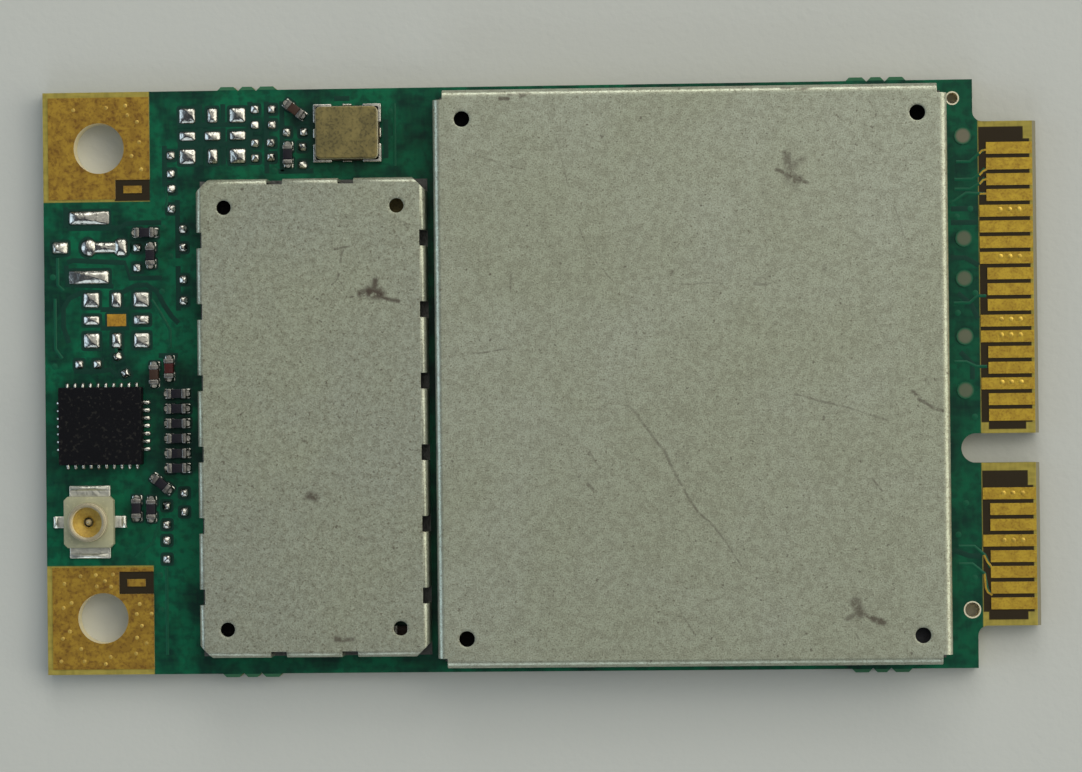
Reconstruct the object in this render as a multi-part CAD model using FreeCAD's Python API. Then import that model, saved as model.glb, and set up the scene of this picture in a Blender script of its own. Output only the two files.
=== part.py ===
"""Full-size mini PCIe radio card with two shield cans.

Row frame: +X runs along the card from the screw end to the contact tongue,
+Y runs across the card towards its upper side, and +Z points out of the
component side. The origin is the middle of the footprint, at the lowest face.
All sizes are millimetres.
"""
import FreeCAD, Part
import math
import os

from FreeCAD import Vector

# Card outline (full-size mini card form factor).
CARD_LENGTH = 50.95
CARD_WIDTH = 30.0
BOARD_THICKNESS = 1.0
TONGUE_LENGTH = 3.2
SHOULDER_DEPTH = 2.15
TONGUE_BEVEL = 0.2
SHOULDER_RADIUS = 0.5
KEY_WIDTH = 1.5
KEY_DEPTH = 3.95
KEY_OFFSET = 3.8

# Break-off tabs left on the long edges by the panel.
TAB_LENGTH = 2.7
TAB_HEIGHT = 0.18
TAB_NOTCH_SIZE = 0.32
TAB_NOTCH_PITCH = 0.93
LEFT_TAB_FROM_END = 10.6
RIGHT_TAB_FROM_SHOULDER = 4.9

# Copper.
COPPER_THICKNESS = 0.04
CONTACT_PITCH = 0.8
CONTACT_WIDTH = 0.6
CONTACT_LENGTH = 2.7
SHORT_CONTACT_LENGTH = 2.33
CONTACT_TIP_MARGIN = 0.2
KEY_GAP_PITCH = 4.0
CONTACT_SIDE_MARGIN = 0.5
TOP_CONTACT_SHIFT = 0.32
# Lengths of the top contacts, long or short, counted away from the key.
UPPER_CONTACT_LENGTHS = "SSLSSLLSSSLLLLSSSS"
LOWER_CONTACT_LENGTHS = "LSSLSSSS"

# Screw holes and their plated lands.
HOLE_EDGE_INSET = 2.9
HOLE_END_INSET = 2.9
HOLE_DIAMETER = 2.6
PLATING = 0.05
LAND_SIZE = 5.25
WINDOW_LENGTH = 1.78
WINDOW_WIDTH = 1.0
LOWER_WINDOW_WIDTH = 1.15
LOWER_WINDOW_INSET = 0.23
WINDOW_BAR_LENGTH = 0.95
WINDOW_BAR_WIDTH = 0.38

# Drilled holes near the tongue.
GROUND_HOLE_DIAMETER = 0.78
GROUND_HOLE_FROM_SHOULDER = 0.27
GROUND_HOLE_FROM_LOWER_EDGE = 2.97
SMALL_HOLE_DIAMETER = 0.6
SMALL_HOLE_FROM_SHOULDER = 1.0
SMALL_HOLE_FROM_UPPER_EDGE = 0.95

# Small shield can, one folded piece with castellated walls.
SMALL_CAN_LEFT = 8.12
SMALL_CAN_WIDTH = 11.74
SMALL_CAN_UPPER_MARGIN = 4.68
SMALL_CAN_LOWER_MARGIN = 0.91
SMALL_CAN_HEIGHT = 1.8
SMALL_CAN_SHEET = 0.2
SMALL_CAN_BEVEL = 0.15
SMALL_CAN_CORNER = 0.65
SMALL_CAN_SLOT_WIDTH = 0.8
SMALL_CAN_SLOT_PITCH = 3.64
SMALL_CAN_SLOT_DEPTH = 0.26
SMALL_CAN_VENT_DIAMETER = 0.74
SMALL_CAN_VENT_INSET = 1.45

# Large shield, a cover clipped over a fence.
SHIELD_GAP = 0.43
LARGE_COVER_EDGE_MARGIN = 0.3
LARGE_COVER_END_MARGIN = 1.39
LARGE_COVER_HEIGHT = 2.0
COVER_SHEET = 0.2
COVER_FOLD = 0.4
COVER_CORNER_SLIT = 0.5
COVER_LIFT = 0.3
COVER_VENT_DIAMETER = 0.8
COVER_VENT_INSET = 1.5
FRAME_SHEET = 0.15
FRAME_CLEARANCE = 0.05
FRAME_LIP = 0.7
FRAME_CORNER_BEVEL = 0.6
FRAME_FOLD_BEVEL = 0.12
FRAME_WINDOW_RADIUS = 0.6
FRAME_RIB_WIDTH = 1.2
MOUSE_HOLE_WIDTH = 1.0
MOUSE_HOLE_HEIGHT = 0.3
MOUSE_HOLE_PITCH = 5.0
SNAP_WINDOW_LENGTH = 1.2
SNAP_WINDOW_HEIGHT = 0.35
SNAP_LUG_PROUD = 0.15
SNAP_CLEARANCE = 0.05
TRACK_WIDTH = 0.7

# Antenna socket.
SOCKET_FROM_END = 2.28
SOCKET_FROM_LOWER_EDGE = 7.87
SOCKET_LENGTH = 2.58
SOCKET_WIDTH = 2.64
SOCKET_CHAMFER = 0.28
SOCKET_BASE_HEIGHT = 0.62
SOCKET_HEIGHT = 1.25
BARREL_DIAMETER = 2.0
BARREL_WALL = 0.22
BARREL_GROOVE = 0.07
GROOVE_BOTTOM = 0.8
GROOVE_TOP = 0.98
BARREL_CLEARANCE = 0.03
SOCKET_PIN_DIAMETER = 0.5
SOCKET_PIN_HEIGHT = 0.95
SOCKET_TAB_WIDTH = 2.12
SOCKET_TAB_REACH = 0.55
SOCKET_SIDE_TAB_WIDTH = 0.6
SOCKET_SIDE_TAB_REACH = 0.6
SOCKET_METAL_THICKNESS = 0.15

# Oscillator module.
OSCILLATOR_FROM_END = 15.8
OSCILLATOR_FROM_UPPER_EDGE = 2.31
OSCILLATOR_LENGTH = 3.3
OSCILLATOR_WIDTH = 2.8
OSCILLATOR_BASE_HEIGHT = 0.4
OSCILLATOR_LID_HEIGHT = 0.55
OSCILLATOR_LID_INSET = 0.06
OSCILLATOR_LID_BEVEL = 0.1
TERMINAL_PROUD = 0.1
CORNER_TERMINAL_LENGTH = 0.85
MIDDLE_TERMINAL_LENGTH = 0.48

# Controller chip.
CHIP_FROM_END = 2.95
CHIP_FROM_LOWER_EDGE = 12.8
CHIP_LENGTH = 4.3
CHIP_WIDTH = 4.0
CHIP_HEIGHT = 0.85
CHIP_BEVEL = 0.06
LEAD_PITCH = 0.4
LEAD_WIDTH = 0.2
LEAD_LENGTH = 0.45
LEAD_PROUD = 0.24
LEAD_THICKNESS = 0.1
LONG_SIDE_LEAD_COUNT = 10
SHORT_SIDE_LEAD_COUNT = 7
HEAT_PAD_LENGTH = 2.6
HEAT_PAD_WIDTH = 2.4

# Two-ended surface parts.
PART_LENGTH = 1.0
PART_WIDTH = 0.5
PART_HEIGHT = 0.5
CAP_LENGTH = 0.24
CAP_PROUD = 0.02
PART_LAND_LENGTH = 0.45
PART_LAND_WIDTH = 0.48
PART_LAND_SPACING = 0.84
EMPTY_LAND_LENGTH = 0.45
EMPTY_LAND_WIDTH = 0.46

# Filter footprints, three by three lands.
UPPER_FILTER_FROM_END = 8.8
UPPER_FILTER_FROM_UPPER_EDGE = 2.33
LOWER_FILTER_FROM_END = 3.74
LOWER_FILTER_FROM_LOWER_EDGE = 18.25
FILTER_COLUMN_PITCH = 1.3
FILTER_ROW_PITCH = 1.05
FILTER_LAND_LENGTH = 0.86
FILTER_LAND_WIDTH = 0.8
FILTER_NARROW_LENGTH = 0.54
FILTER_MIDDLE_WIDTH = 0.5
GOLD_LAND_LENGTH = 0.98
GOLD_LAND_WIDTH = 0.62

# Empty antenna socket footprint.
SPARE_FROM_END = 2.35
SPARE_FROM_UPPER_EDGE = 8.0
SPARE_BAR_LENGTH = 2.1
SPARE_BAR_WIDTH = 0.72
SPARE_BAR_OFFSET = 1.53
SPARE_SIDE_LENGTH = 0.84
SPARE_SIDE_WIDTH = 0.65
SPARE_SIDE_OFFSET = 1.5
SPARE_BULB_DIAMETER = 0.9
SPARE_BULB_SPACING = 1.65
SPARE_NECK_WIDTH = 0.5

# Round pads.
TENTED_PAD_DIAMETER = 0.9
TENTED_PAD_FROM_SHOULDER = 0.5
TENTED_PAD_LEVELS = (2.88, 8.1, 10.15, 13.1, 15.85)
TEST_PAD_DIAMETER = 0.9
TEST_PAD_PITCH = 2.4
TEST_PAD_COLUMNS = 4
TEST_PAD_ROWS = 2
TEST_PAD_FROM_LOWER_EDGE = 3.6

# Chips under the shields.
PROCESSOR_SIZE = 9.0
PROCESSOR_HEIGHT = 1.1
SOLDER_POST_SIZE = 0.36
SOLDER_POST_HEIGHT = 0.25
SOLDER_POST_PITCH = 1.1
SOLDER_POST_COUNT = 8
MEMORY_LENGTH = 8.0
MEMORY_WIDTH = 9.0
MEMORY_HEIGHT = 1.0
POWER_CHIP_SIZE = 5.0
POWER_CHIP_HEIGHT = 0.85
CRYSTAL_LENGTH = 3.2
CRYSTAL_WIDTH = 2.5
CRYSTAL_HEIGHT = 0.75
INDUCTOR_LENGTH = 2.5
INDUCTOR_WIDTH = 2.0
INDUCTOR_HEIGHT = 1.2
INDUCTOR_BEVEL = 0.35
INDUCTOR_COUNT = 3
TRANSCEIVER_SIZE = 6.0
TRANSCEIVER_HEIGHT = 0.9
AMPLIFIER_SIZE = 3.0
AMPLIFIER_HEIGHT = 0.9
DUPLEXER_LENGTH = 2.5
DUPLEXER_WIDTH = 2.0
DUPLEXER_HEIGHT = 0.8
SWITCH_SIZE = 2.6
SWITCH_HEIGHT = 0.8
CHIP_SPACING = 0.8
INNER_PART_PITCH = 1.6
INNER_PART_COUNT = 4

# Empty two-land footprints: distance from the screw end, the long edge that the
# second distance is taken from, that distance, turn and spacing.
EMPTY_FOOTPRINTS = (
    (11.00, "upper", 1.40, 90, 0.80),
    (11.88, "upper", 1.40, 90, 0.80),
    (11.00, "upper", 3.12, 90, 0.78),
    (11.82, "upper", 3.10, 90, 0.75),
    (13.08, "upper", 2.20, 0, 0.88),
    (13.46, "upper", 3.42, 90, 0.93),
    (6.62, "upper", 3.78, 90, 0.95),
    (6.64, "upper", 5.54, 90, 1.03),
    (7.22, "upper", 7.58, 90, 0.95),
    (7.22, "upper", 10.25, 90, 1.08),
    (4.84, "upper", 8.55, 90, 1.03),
    (2.25, "lower", 15.98, 0, 0.95),
    (3.98, "lower", 15.94, -65, 0.96),
    (6.24, "lower", 8.18, 90, 0.98),
    (6.23, "lower", 6.40, 90, 0.96),
    (7.16, "lower", 8.83, 90, 0.98),
)

# Fitted two-ended parts on the open strip, placed in the same way.
FITTED_PARTS = (
    (13.07, "upper", 1.05, -38),
    (12.72, "upper", 3.36, 90),
    (5.28, "upper", 7.27, 0),
    (5.57, "upper", 8.44, 90),
    (5.70, "lower", 15.42, 90),
    (6.48, "lower", 15.73, 90),
    (6.86, "lower", 14.43, 0),
    (6.86, "lower", 13.66, 0),
    (6.86, "lower", 12.90, 0),
    (6.86, "lower", 12.13, 0),
    (6.86, "lower", 11.36, 0),
    (6.86, "lower", 10.60, 0),
    (6.02, "lower", 9.80, -40),
    (4.72, "lower", 8.55, 90),
    (5.48, "lower", 8.50, 90),
)

# How far cutting tools run past the faces that they cut.
OVERSHOOT = 1.0

# Sides of the small round pads.
PAD_SIDES = 12

# Heights of the stack.
BOARD_BOTTOM = COPPER_THICKNESS
BOARD_TOP = BOARD_BOTTOM + BOARD_THICKNESS
LAND_TOP = BOARD_TOP + COPPER_THICKNESS

# Positions that follow from the sizes above.
LEFT_EDGE = -CARD_LENGTH / 2
TIP_EDGE = CARD_LENGTH / 2
SHOULDER = TIP_EDGE - TONGUE_LENGTH
HALF_WIDTH = CARD_WIDTH / 2
HALF_TONGUE = HALF_WIDTH - SHOULDER_DEPTH
CONTACT_TIP = TIP_EDGE - CONTACT_TIP_MARGIN
SMALL_CAN = (
    LEFT_EDGE + SMALL_CAN_LEFT,
    -HALF_WIDTH + SMALL_CAN_LOWER_MARGIN,
    LEFT_EDGE + SMALL_CAN_LEFT + SMALL_CAN_WIDTH,
    HALF_WIDTH - SMALL_CAN_UPPER_MARGIN,
)
LARGE_COVER = (
    SMALL_CAN[2] + SHIELD_GAP,
    -HALF_WIDTH + LARGE_COVER_EDGE_MARGIN,
    SHOULDER - LARGE_COVER_END_MARGIN,
    HALF_WIDTH - LARGE_COVER_EDGE_MARGIN,
)


def level(edge, distance):
    """Y position at a distance from the upper or the lower long edge."""
    return HALF_WIDTH - distance if edge == "upper" else distance - HALF_WIDTH


def block(x0, y0, x1, y1, bottom, height):
    """Upright box between two corners."""
    return Part.makeBox(x1 - x0, y1 - y0, height, Vector(x0, y0, bottom))


def centred(x, y, length, width, bottom, height):
    """Upright box about a centre."""
    return Part.makeBox(length, width, height, Vector(x - length / 2, y - width / 2, bottom))


def copper(x, y, length, width):
    """Rectangular land on the component side."""
    return centred(x, y, length, width, BOARD_TOP, COPPER_THICKNESS)


def drill(x, y, diameter):
    """Upright cylinder that passes right through the card."""
    return rod(x, y, diameter / 2, -OVERSHOOT, LAND_TOP + 2 * OVERSHOOT)


def round_pad(x, y, diameter, bottom):
    """Thin round pad of copper."""
    radius = diameter / 2
    angles = [2 * math.pi * i / PAD_SIDES for i in range(PAD_SIDES)]
    points = [Vector(x + math.cos(a) * radius, y + math.sin(a) * radius, bottom) for a in angles]
    return Part.Face(Part.makePolygon(points + points[:1])).extrude(Vector(0, 0, COPPER_THICKNESS))


def rod(x, y, radius, bottom, height):
    """Upright cylinder."""
    return Part.makeCylinder(radius, height, Vector(x, y, bottom))


def grown(rectangle, margin):
    """Rectangle with each side moved outwards by a margin."""
    x0, y0, x1, y1 = rectangle
    return (x0 - margin, y0 - margin, x1 + margin, y1 + margin)


def turned(shape, x, y, degrees):
    """Copy of a shape turned about an upright line."""
    copy = shape.copy()
    copy.rotate(Vector(x, y, 0), Vector(0, 0, 1), degrees)
    return copy


def edges_where(shape, test):
    """Edges whose middle point and direction pass a test."""
    found = []
    for edge in shape.Edges:
        ends = [vertex.Point for vertex in edge.Vertexes]
        if len(ends) == 2 and test(ends[0], ends[1]):
            found.append(edge)
    return found


def upright_edges(shape):
    """Edges that run along Z."""
    return edges_where(shape, lambda a, b: abs(a.x - b.x) < 1e-6 and abs(a.y - b.y) < 1e-6)


def top_edges(shape):
    """Edges that lie in the highest face."""
    top = shape.BoundBox.ZMax
    return edges_where(shape, lambda a, b: abs(a.z - top) < 1e-6 and abs(b.z - top) < 1e-6)


def flat_top_edges(shape):
    """All edges of the highest face, curved corners included."""
    top = shape.BoundBox.ZMax
    return [edge for edge in shape.Edges if edge.BoundBox.ZMin > top - 1e-6]


def outline_face():
    """Flat board outline with shoulders, as one face at the board's underside."""
    corners = [
        (LEFT_EDGE, -HALF_WIDTH),
        (SHOULDER, -HALF_WIDTH),
        (SHOULDER, -HALF_TONGUE),
        (TIP_EDGE, -HALF_TONGUE),
        (TIP_EDGE, HALF_TONGUE),
        (SHOULDER, HALF_TONGUE),
        (SHOULDER, HALF_WIDTH),
        (LEFT_EDGE, HALF_WIDTH),
    ]
    points = [Vector(x, y, BOARD_BOTTOM) for x, y in corners]
    return Part.Face(Part.makePolygon(points + points[:1]))


def break_off_tab(x, side):
    """Raised remnant of a panel tab on one long edge."""
    edge = side * HALF_WIDTH
    half = TAB_LENGTH / 2
    slope = TAB_HEIGHT
    points = [
        Vector(x - half - slope, edge, BOARD_BOTTOM),
        Vector(x + half + slope, edge, BOARD_BOTTOM),
        Vector(x + half, edge + side * TAB_HEIGHT, BOARD_BOTTOM),
        Vector(x - half, edge + side * TAB_HEIGHT, BOARD_BOTTOM),
    ]
    face = Part.Face(Part.makePolygon(points + points[:1]))
    return face.extrude(Vector(0, 0, BOARD_THICKNESS))


def tab_notches(x, side):
    """Two pointed notches that cross a tab, where its drilled line broke."""
    edge = side * (HALF_WIDTH + TAB_HEIGHT)
    notches = []
    for place in (-0.5, 0.5):
        middle = x + place * TAB_NOTCH_PITCH
        cutter = centred(middle, edge, TAB_NOTCH_SIZE, TAB_NOTCH_SIZE, -OVERSHOOT, LAND_TOP + 2 * OVERSHOOT)
        notches.append(turned(cutter, middle, edge, 45))
    return notches


def key_notch():
    """Round-ended slot that keys the tongue."""
    radius = KEY_WIDTH / 2
    centre = TIP_EDGE - KEY_DEPTH + radius
    slot = block(
        centre, -KEY_OFFSET - radius, TIP_EDGE + OVERSHOOT, -KEY_OFFSET + radius,
        -OVERSHOOT, LAND_TOP + 2 * OVERSHOOT)
    return slot.fuse(drill(centre, -KEY_OFFSET, KEY_WIDTH))


def screw_holes():
    """Centres of the two screw holes, the upper one first."""
    x = LEFT_EDGE + HOLE_END_INSET
    return [(x, level(edge, HOLE_EDGE_INSET)) for edge in ("upper", "lower")]


def ground_hole():
    """Centre of the plated hole beside the tongue."""
    return (SHOULDER - GROUND_HOLE_FROM_SHOULDER, GROUND_HOLE_FROM_LOWER_EDGE - HALF_WIDTH)


def small_hole():
    """Centre of the small plated hole at the upper corner."""
    return (SHOULDER - SMALL_HOLE_FROM_SHOULDER, HALF_WIDTH - SMALL_HOLE_FROM_UPPER_EDGE)


def circuit_board():
    """Laminate board with tongue, key, holes, bevelled tip and tab remnants."""
    board = outline_face().extrude(Vector(0, 0, BOARD_THICKNESS))
    inner = edges_where(
        board,
        lambda a, b: abs(a.x - b.x) < 1e-6 and abs(a.y - b.y) < 1e-6
        and abs(a.x - SHOULDER) < 1e-6 and abs(abs(a.y) - HALF_TONGUE) < 1e-6)
    board = board.makeFillet(SHOULDER_RADIUS, inner)
    tip = edges_where(
        board,
        lambda a, b: abs(a.z - b.z) < 1e-6 and abs(a.x - TIP_EDGE) < 1e-6 and abs(b.x - TIP_EDGE) < 1e-6)
    board = board.makeChamfer(TONGUE_BEVEL, tip)
    tabs = [LEFT_EDGE + LEFT_TAB_FROM_END, SHOULDER - RIGHT_TAB_FROM_SHOULDER]
    cutters = [key_notch()]
    for x in tabs:
        for side in (1, -1):
            board = board.fuse(break_off_tab(x, side))
            cutters += tab_notches(x, side)
    for x, y in screw_holes():
        cutters.append(drill(x, y, HOLE_DIAMETER + 2 * PLATING))
    cutters.append(drill(*ground_hole(), GROUND_HOLE_DIAMETER))
    cutters.append(drill(*small_hole(), SMALL_HOLE_DIAMETER))
    return [board.cut(cutters).removeSplitter()]


def contact_levels(side, shift):
    """Y positions of the contacts on one side of the key, counted away from it."""
    first = KEY_GAP_PITCH / 2 - side * (KEY_OFFSET + shift)
    room = HALF_TONGUE - CONTACT_SIDE_MARGIN - CONTACT_WIDTH / 2 - first
    count = int(room / CONTACT_PITCH) + 1
    return [side * (first + i * CONTACT_PITCH) for i in range(count)]


def contact(y, length, bottom):
    """One finger that ends at the common tip line."""
    return centred(CONTACT_TIP - length / 2, y, length, CONTACT_WIDTH, bottom, COPPER_THICKNESS)


def top_contacts():
    """Odd-numbered fingers on the component side, ground ones longer."""
    lengths = {"L": CONTACT_LENGTH, "S": SHORT_CONTACT_LENGTH}
    fingers = []
    for side, pattern in ((1, UPPER_CONTACT_LENGTHS), (-1, LOWER_CONTACT_LENGTHS)):
        for i, y in enumerate(contact_levels(side, TOP_CONTACT_SHIFT)):
            fingers.append(contact(y, lengths[pattern[i % len(pattern)]], BOARD_TOP))
    return fingers


def bottom_contacts():
    """Even-numbered fingers on the underside, half a pitch higher."""
    shift = TOP_CONTACT_SHIFT - CONTACT_PITCH / 2
    return [contact(y, CONTACT_LENGTH, 0) for side in (1, -1) for y in contact_levels(side, shift)]


def plated_land(x, y):
    """Square lands on both faces joined by a plated barrel."""
    outer = HOLE_DIAMETER / 2 + PLATING
    land = centred(x, y, LAND_SIZE, LAND_SIZE, BOARD_TOP, COPPER_THICKNESS)
    land = land.fuse([
        rod(x, y, outer, 0, LAND_TOP),
        centred(x, y, LAND_SIZE, LAND_SIZE, 0, COPPER_THICKNESS),
    ])
    return land.cut(drill(x, y, HOLE_DIAMETER))


def land_window(x0, y0, width):
    """Opening in a top land, and the plain bar of copper left inside it."""
    x1 = x0 + WINDOW_LENGTH + OVERSHOOT
    opening = block(x0, y0, x1, y0 + width, BOARD_TOP, COPPER_THICKNESS + OVERSHOOT)
    middle = (x0 + WINDOW_LENGTH / 2, y0 + width / 2)
    bar = centred(*middle, WINDOW_BAR_LENGTH, WINDOW_BAR_WIDTH, BOARD_TOP, COPPER_THICKNESS)
    return opening, bar


def upper_mounting_land():
    """Land of the upper screw hole with a window at its inner lower corner."""
    x, y = screw_holes()[0]
    x0 = x + LAND_SIZE / 2 - WINDOW_LENGTH
    opening, bar = land_window(x0, y - LAND_SIZE / 2, WINDOW_WIDTH)
    return [plated_land(x, y).cut(opening), bar]


def lower_mounting_land():
    """Land of the lower screw hole with a window in its inner side."""
    x, y = screw_holes()[1]
    x0 = x + LAND_SIZE / 2 - WINDOW_LENGTH
    y0 = y + LAND_SIZE / 2 - LOWER_WINDOW_INSET - LOWER_WINDOW_WIDTH
    opening, bar = land_window(x0, y0, LOWER_WINDOW_WIDTH)
    return [plated_land(x, y).cut(opening), bar]


def track(rectangle, width):
    """Ring of bare copper that a shield wall stands on."""
    outer = block(*rectangle, BOARD_TOP, COPPER_THICKNESS)
    inner = block(*grown(rectangle, -width), BOARD_TOP - OVERSHOOT, COPPER_THICKNESS + 2 * OVERSHOOT)
    return outer.cut(inner)


def vents(rectangle, inset, diameter):
    """Cylinders that cut one vent hole near each corner."""
    x0, y0, x1, y1 = grown(rectangle, -inset)
    return [rod(x, y, diameter / 2, BOARD_TOP, SMALL_CAN_HEIGHT + LARGE_COVER_HEIGHT)
            for x in (x0, x1) for y in (y0, y1)]


def spaced(count, pitch):
    """Evenly pitched places about zero."""
    return [(i - (count - 1) / 2) * pitch for i in range(count)]


def spread(start, end, pitch):
    """Evenly pitched places centred on a run, half a pitch or more from its ends."""
    middle = (start + end) / 2
    return [middle + place for place in spaced(max(1, int((end - start) / pitch)), pitch)]


def small_shield_can():
    """One-piece can with slots along every fold and cut corners."""
    x0, y0, x1, y1 = SMALL_CAN
    can = block(*SMALL_CAN, LAND_TOP, SMALL_CAN_HEIGHT)
    can = can.makeChamfer(SMALL_CAN_BEVEL, top_edges(can)).cut(block(
        *grown(SMALL_CAN, -SMALL_CAN_SHEET), LAND_TOP - OVERSHOOT,
        SMALL_CAN_HEIGHT - SMALL_CAN_SHEET + OVERSHOOT))
    cutters = vents(SMALL_CAN, SMALL_CAN_VENT_INSET, SMALL_CAN_VENT_DIAMETER)
    tall = SMALL_CAN_HEIGHT + 2 * OVERSHOOT
    low = LAND_TOP - OVERSHOOT
    slots_x = spread(x0 + SMALL_CAN_CORNER, x1 - SMALL_CAN_CORNER, SMALL_CAN_SLOT_PITCH)
    slots_y = spread(y0 + SMALL_CAN_CORNER, y1 - SMALL_CAN_CORNER, SMALL_CAN_SLOT_PITCH)
    for y in slots_y:
        for x in (x0, x1):
            cutters.append(centred(x, y, 2 * SMALL_CAN_SLOT_DEPTH, SMALL_CAN_SLOT_WIDTH, low, tall))
    for x in slots_x:
        for y in (y0, y1):
            cutters.append(centred(x, y, SMALL_CAN_SLOT_WIDTH, 2 * SMALL_CAN_SLOT_DEPTH, low, tall))
    side = SMALL_CAN_CORNER * math.sqrt(2)
    for x in (x0, x1):
        for y in (y0, y1):
            corner = centred(x, y, side, side, low, tall)
            cutters.append(turned(corner, x, y, 45))
    return [can.cut(cutters)]


def snap_places():
    """Middle points and directions of the snap windows, two on each wall."""
    x0, y0, x1, y1 = LARGE_COVER
    places = []
    for share in (0.25, 0.75):
        x = x0 + (x1 - x0) * share
        y = y0 + (y1 - y0) * share
        places += [(x, y0, 0, -1), (x, y1, 0, 1), (x0, y, -1, 0), (x1, y, 1, 0)]
    return places


def snap_box(place, length, reach_in, reach_out, bottom, height):
    """Box across a cover wall at a snap place."""
    x, y, nx, ny = place
    if nx:
        low, high = sorted((x - nx * reach_in, x + nx * reach_out))
        return block(low, y - length / 2, high, y + length / 2, bottom, height)
    low, high = sorted((y - ny * reach_in, y + ny * reach_out))
    return block(x - length / 2, low, x + length / 2, high, bottom, height)


def snap_window_bottom():
    """Height of the lower edge of the snap windows."""
    return LAND_TOP + LARGE_COVER_HEIGHT / 2 - SNAP_WINDOW_HEIGHT / 2


def large_shield_cover():
    """Cover with rounded folds, slit corners, snap windows and vents."""
    x0, y0, x1, y1 = LARGE_COVER
    cover = block(*LARGE_COVER, LAND_TOP + COVER_LIFT, LARGE_COVER_HEIGHT - COVER_LIFT)
    cover = cover.makeFillet(COVER_FOLD, top_edges(cover)).cut(block(
        *grown(LARGE_COVER, -COVER_SHEET), LAND_TOP, LARGE_COVER_HEIGHT - COVER_SHEET))
    cutters = vents(LARGE_COVER, COVER_VENT_INSET, COVER_VENT_DIAMETER)
    for x in (x0, x1):
        for y in (y0, y1):
            side = 2 * COVER_CORNER_SLIT
            cutters.append(centred(x, y, side, side, LAND_TOP, LARGE_COVER_HEIGHT + OVERSHOOT))
    for place in snap_places():
        cutters.append(snap_box(
            place, SNAP_WINDOW_LENGTH, COVER_SHEET, OVERSHOOT, snap_window_bottom(), SNAP_WINDOW_HEIGHT))
    return [cover.cut(cutters)]


def frame_rectangle():
    """Outer faces of the fence under the cover."""
    return grown(LARGE_COVER, -COVER_SHEET - FRAME_CLEARANCE)


def rounded_block(rectangle, radius, bottom, height):
    """Upright box with rounded corners."""
    box = block(*rectangle, bottom, height)
    return box.makeFillet(radius, upright_edges(box))


def frame_windows(inner, bottom, height):
    """The two rounded openings in the frame's top, either side of its rib."""
    x0, y0, x1, y1 = inner
    rib = frame_rib_middle()
    left = (x0, y0, rib - FRAME_RIB_WIDTH / 2, y1)
    right = (rib + FRAME_RIB_WIDTH / 2, y0, x1, y1)
    return [rounded_block(part, FRAME_WINDOW_RADIUS, bottom, height) for part in (left, right)]


def frame_rib_middle():
    """X position of the rib that parts the processor side from the power side."""
    x0, y0, x1, y1 = frame_rectangle()
    left = x0 + FRAME_LIP + PROCESSOR_SIZE
    right = x1 - FRAME_LIP - POWER_CHIP_SIZE
    return (left + right) / 2


def large_shield_frame():
    """Fence with a picked lip, a rib, mouse holes and snap lugs."""
    rectangle = frame_rectangle()
    x0, y0, x1, y1 = rectangle
    height = LARGE_COVER_HEIGHT - COVER_SHEET
    outer = block(*rectangle, LAND_TOP, height)
    outer = outer.makeChamfer(FRAME_CORNER_BEVEL, upright_edges(outer))
    outer = outer.makeChamfer(FRAME_FOLD_BEVEL, flat_top_edges(outer))
    inner = block(*grown(rectangle, -FRAME_SHEET), LAND_TOP - OVERSHOOT, height - FRAME_SHEET + OVERSHOOT)
    inner = inner.makeChamfer(FRAME_CORNER_BEVEL - FRAME_SHEET, upright_edges(inner))
    cutters = [inner] + frame_windows(grown(rectangle, -FRAME_LIP), LAND_TOP, height + OVERSHOOT)
    for x in spread(x0, x1, MOUSE_HOLE_PITCH):
        cutters.append(centred(
            x, (y0 + y1) / 2, MOUSE_HOLE_WIDTH, y1 - y0 + OVERSHOOT, LAND_TOP - OVERSHOOT,
            OVERSHOOT + MOUSE_HOLE_HEIGHT))
    fence = outer.cut(cutters)
    lug_height = SNAP_WINDOW_HEIGHT - 2 * SNAP_CLEARANCE
    lug_length = SNAP_WINDOW_LENGTH - 2 * SNAP_CLEARANCE
    lugs = []
    for place in snap_places():
        reach_in = COVER_SHEET + FRAME_CLEARANCE + FRAME_SHEET
        reach_out = SNAP_LUG_PROUD - FRAME_CLEARANCE - COVER_SHEET
        bottom = snap_window_bottom() + SNAP_CLEARANCE
        lugs.append(snap_box(place, lug_length, reach_in, reach_out, bottom, lug_height))
    return [fence.fuse(lugs).removeSplitter()]


def socket_barrel(x, y, inner, radius):
    """Turned barrel of the outer contact, grooved below its rim."""
    profile = [
        (inner, 0),
        (radius, 0),
        (radius, GROOVE_BOTTOM - BARREL_GROOVE),
        (radius - BARREL_GROOVE, GROOVE_BOTTOM),
        (radius - BARREL_GROOVE, GROOVE_TOP),
        (radius, GROOVE_TOP + BARREL_GROOVE),
        (radius - BARREL_GROOVE, SOCKET_HEIGHT),
        (inner, SOCKET_HEIGHT),
    ]
    points = [Vector(x + out, y, LAND_TOP + up) for out, up in profile]
    face = Part.Face(Part.makePolygon(points + points[:1]))
    return face.revolve(Vector(x, y, 0), Vector(0, 0, 1), 360)


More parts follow.
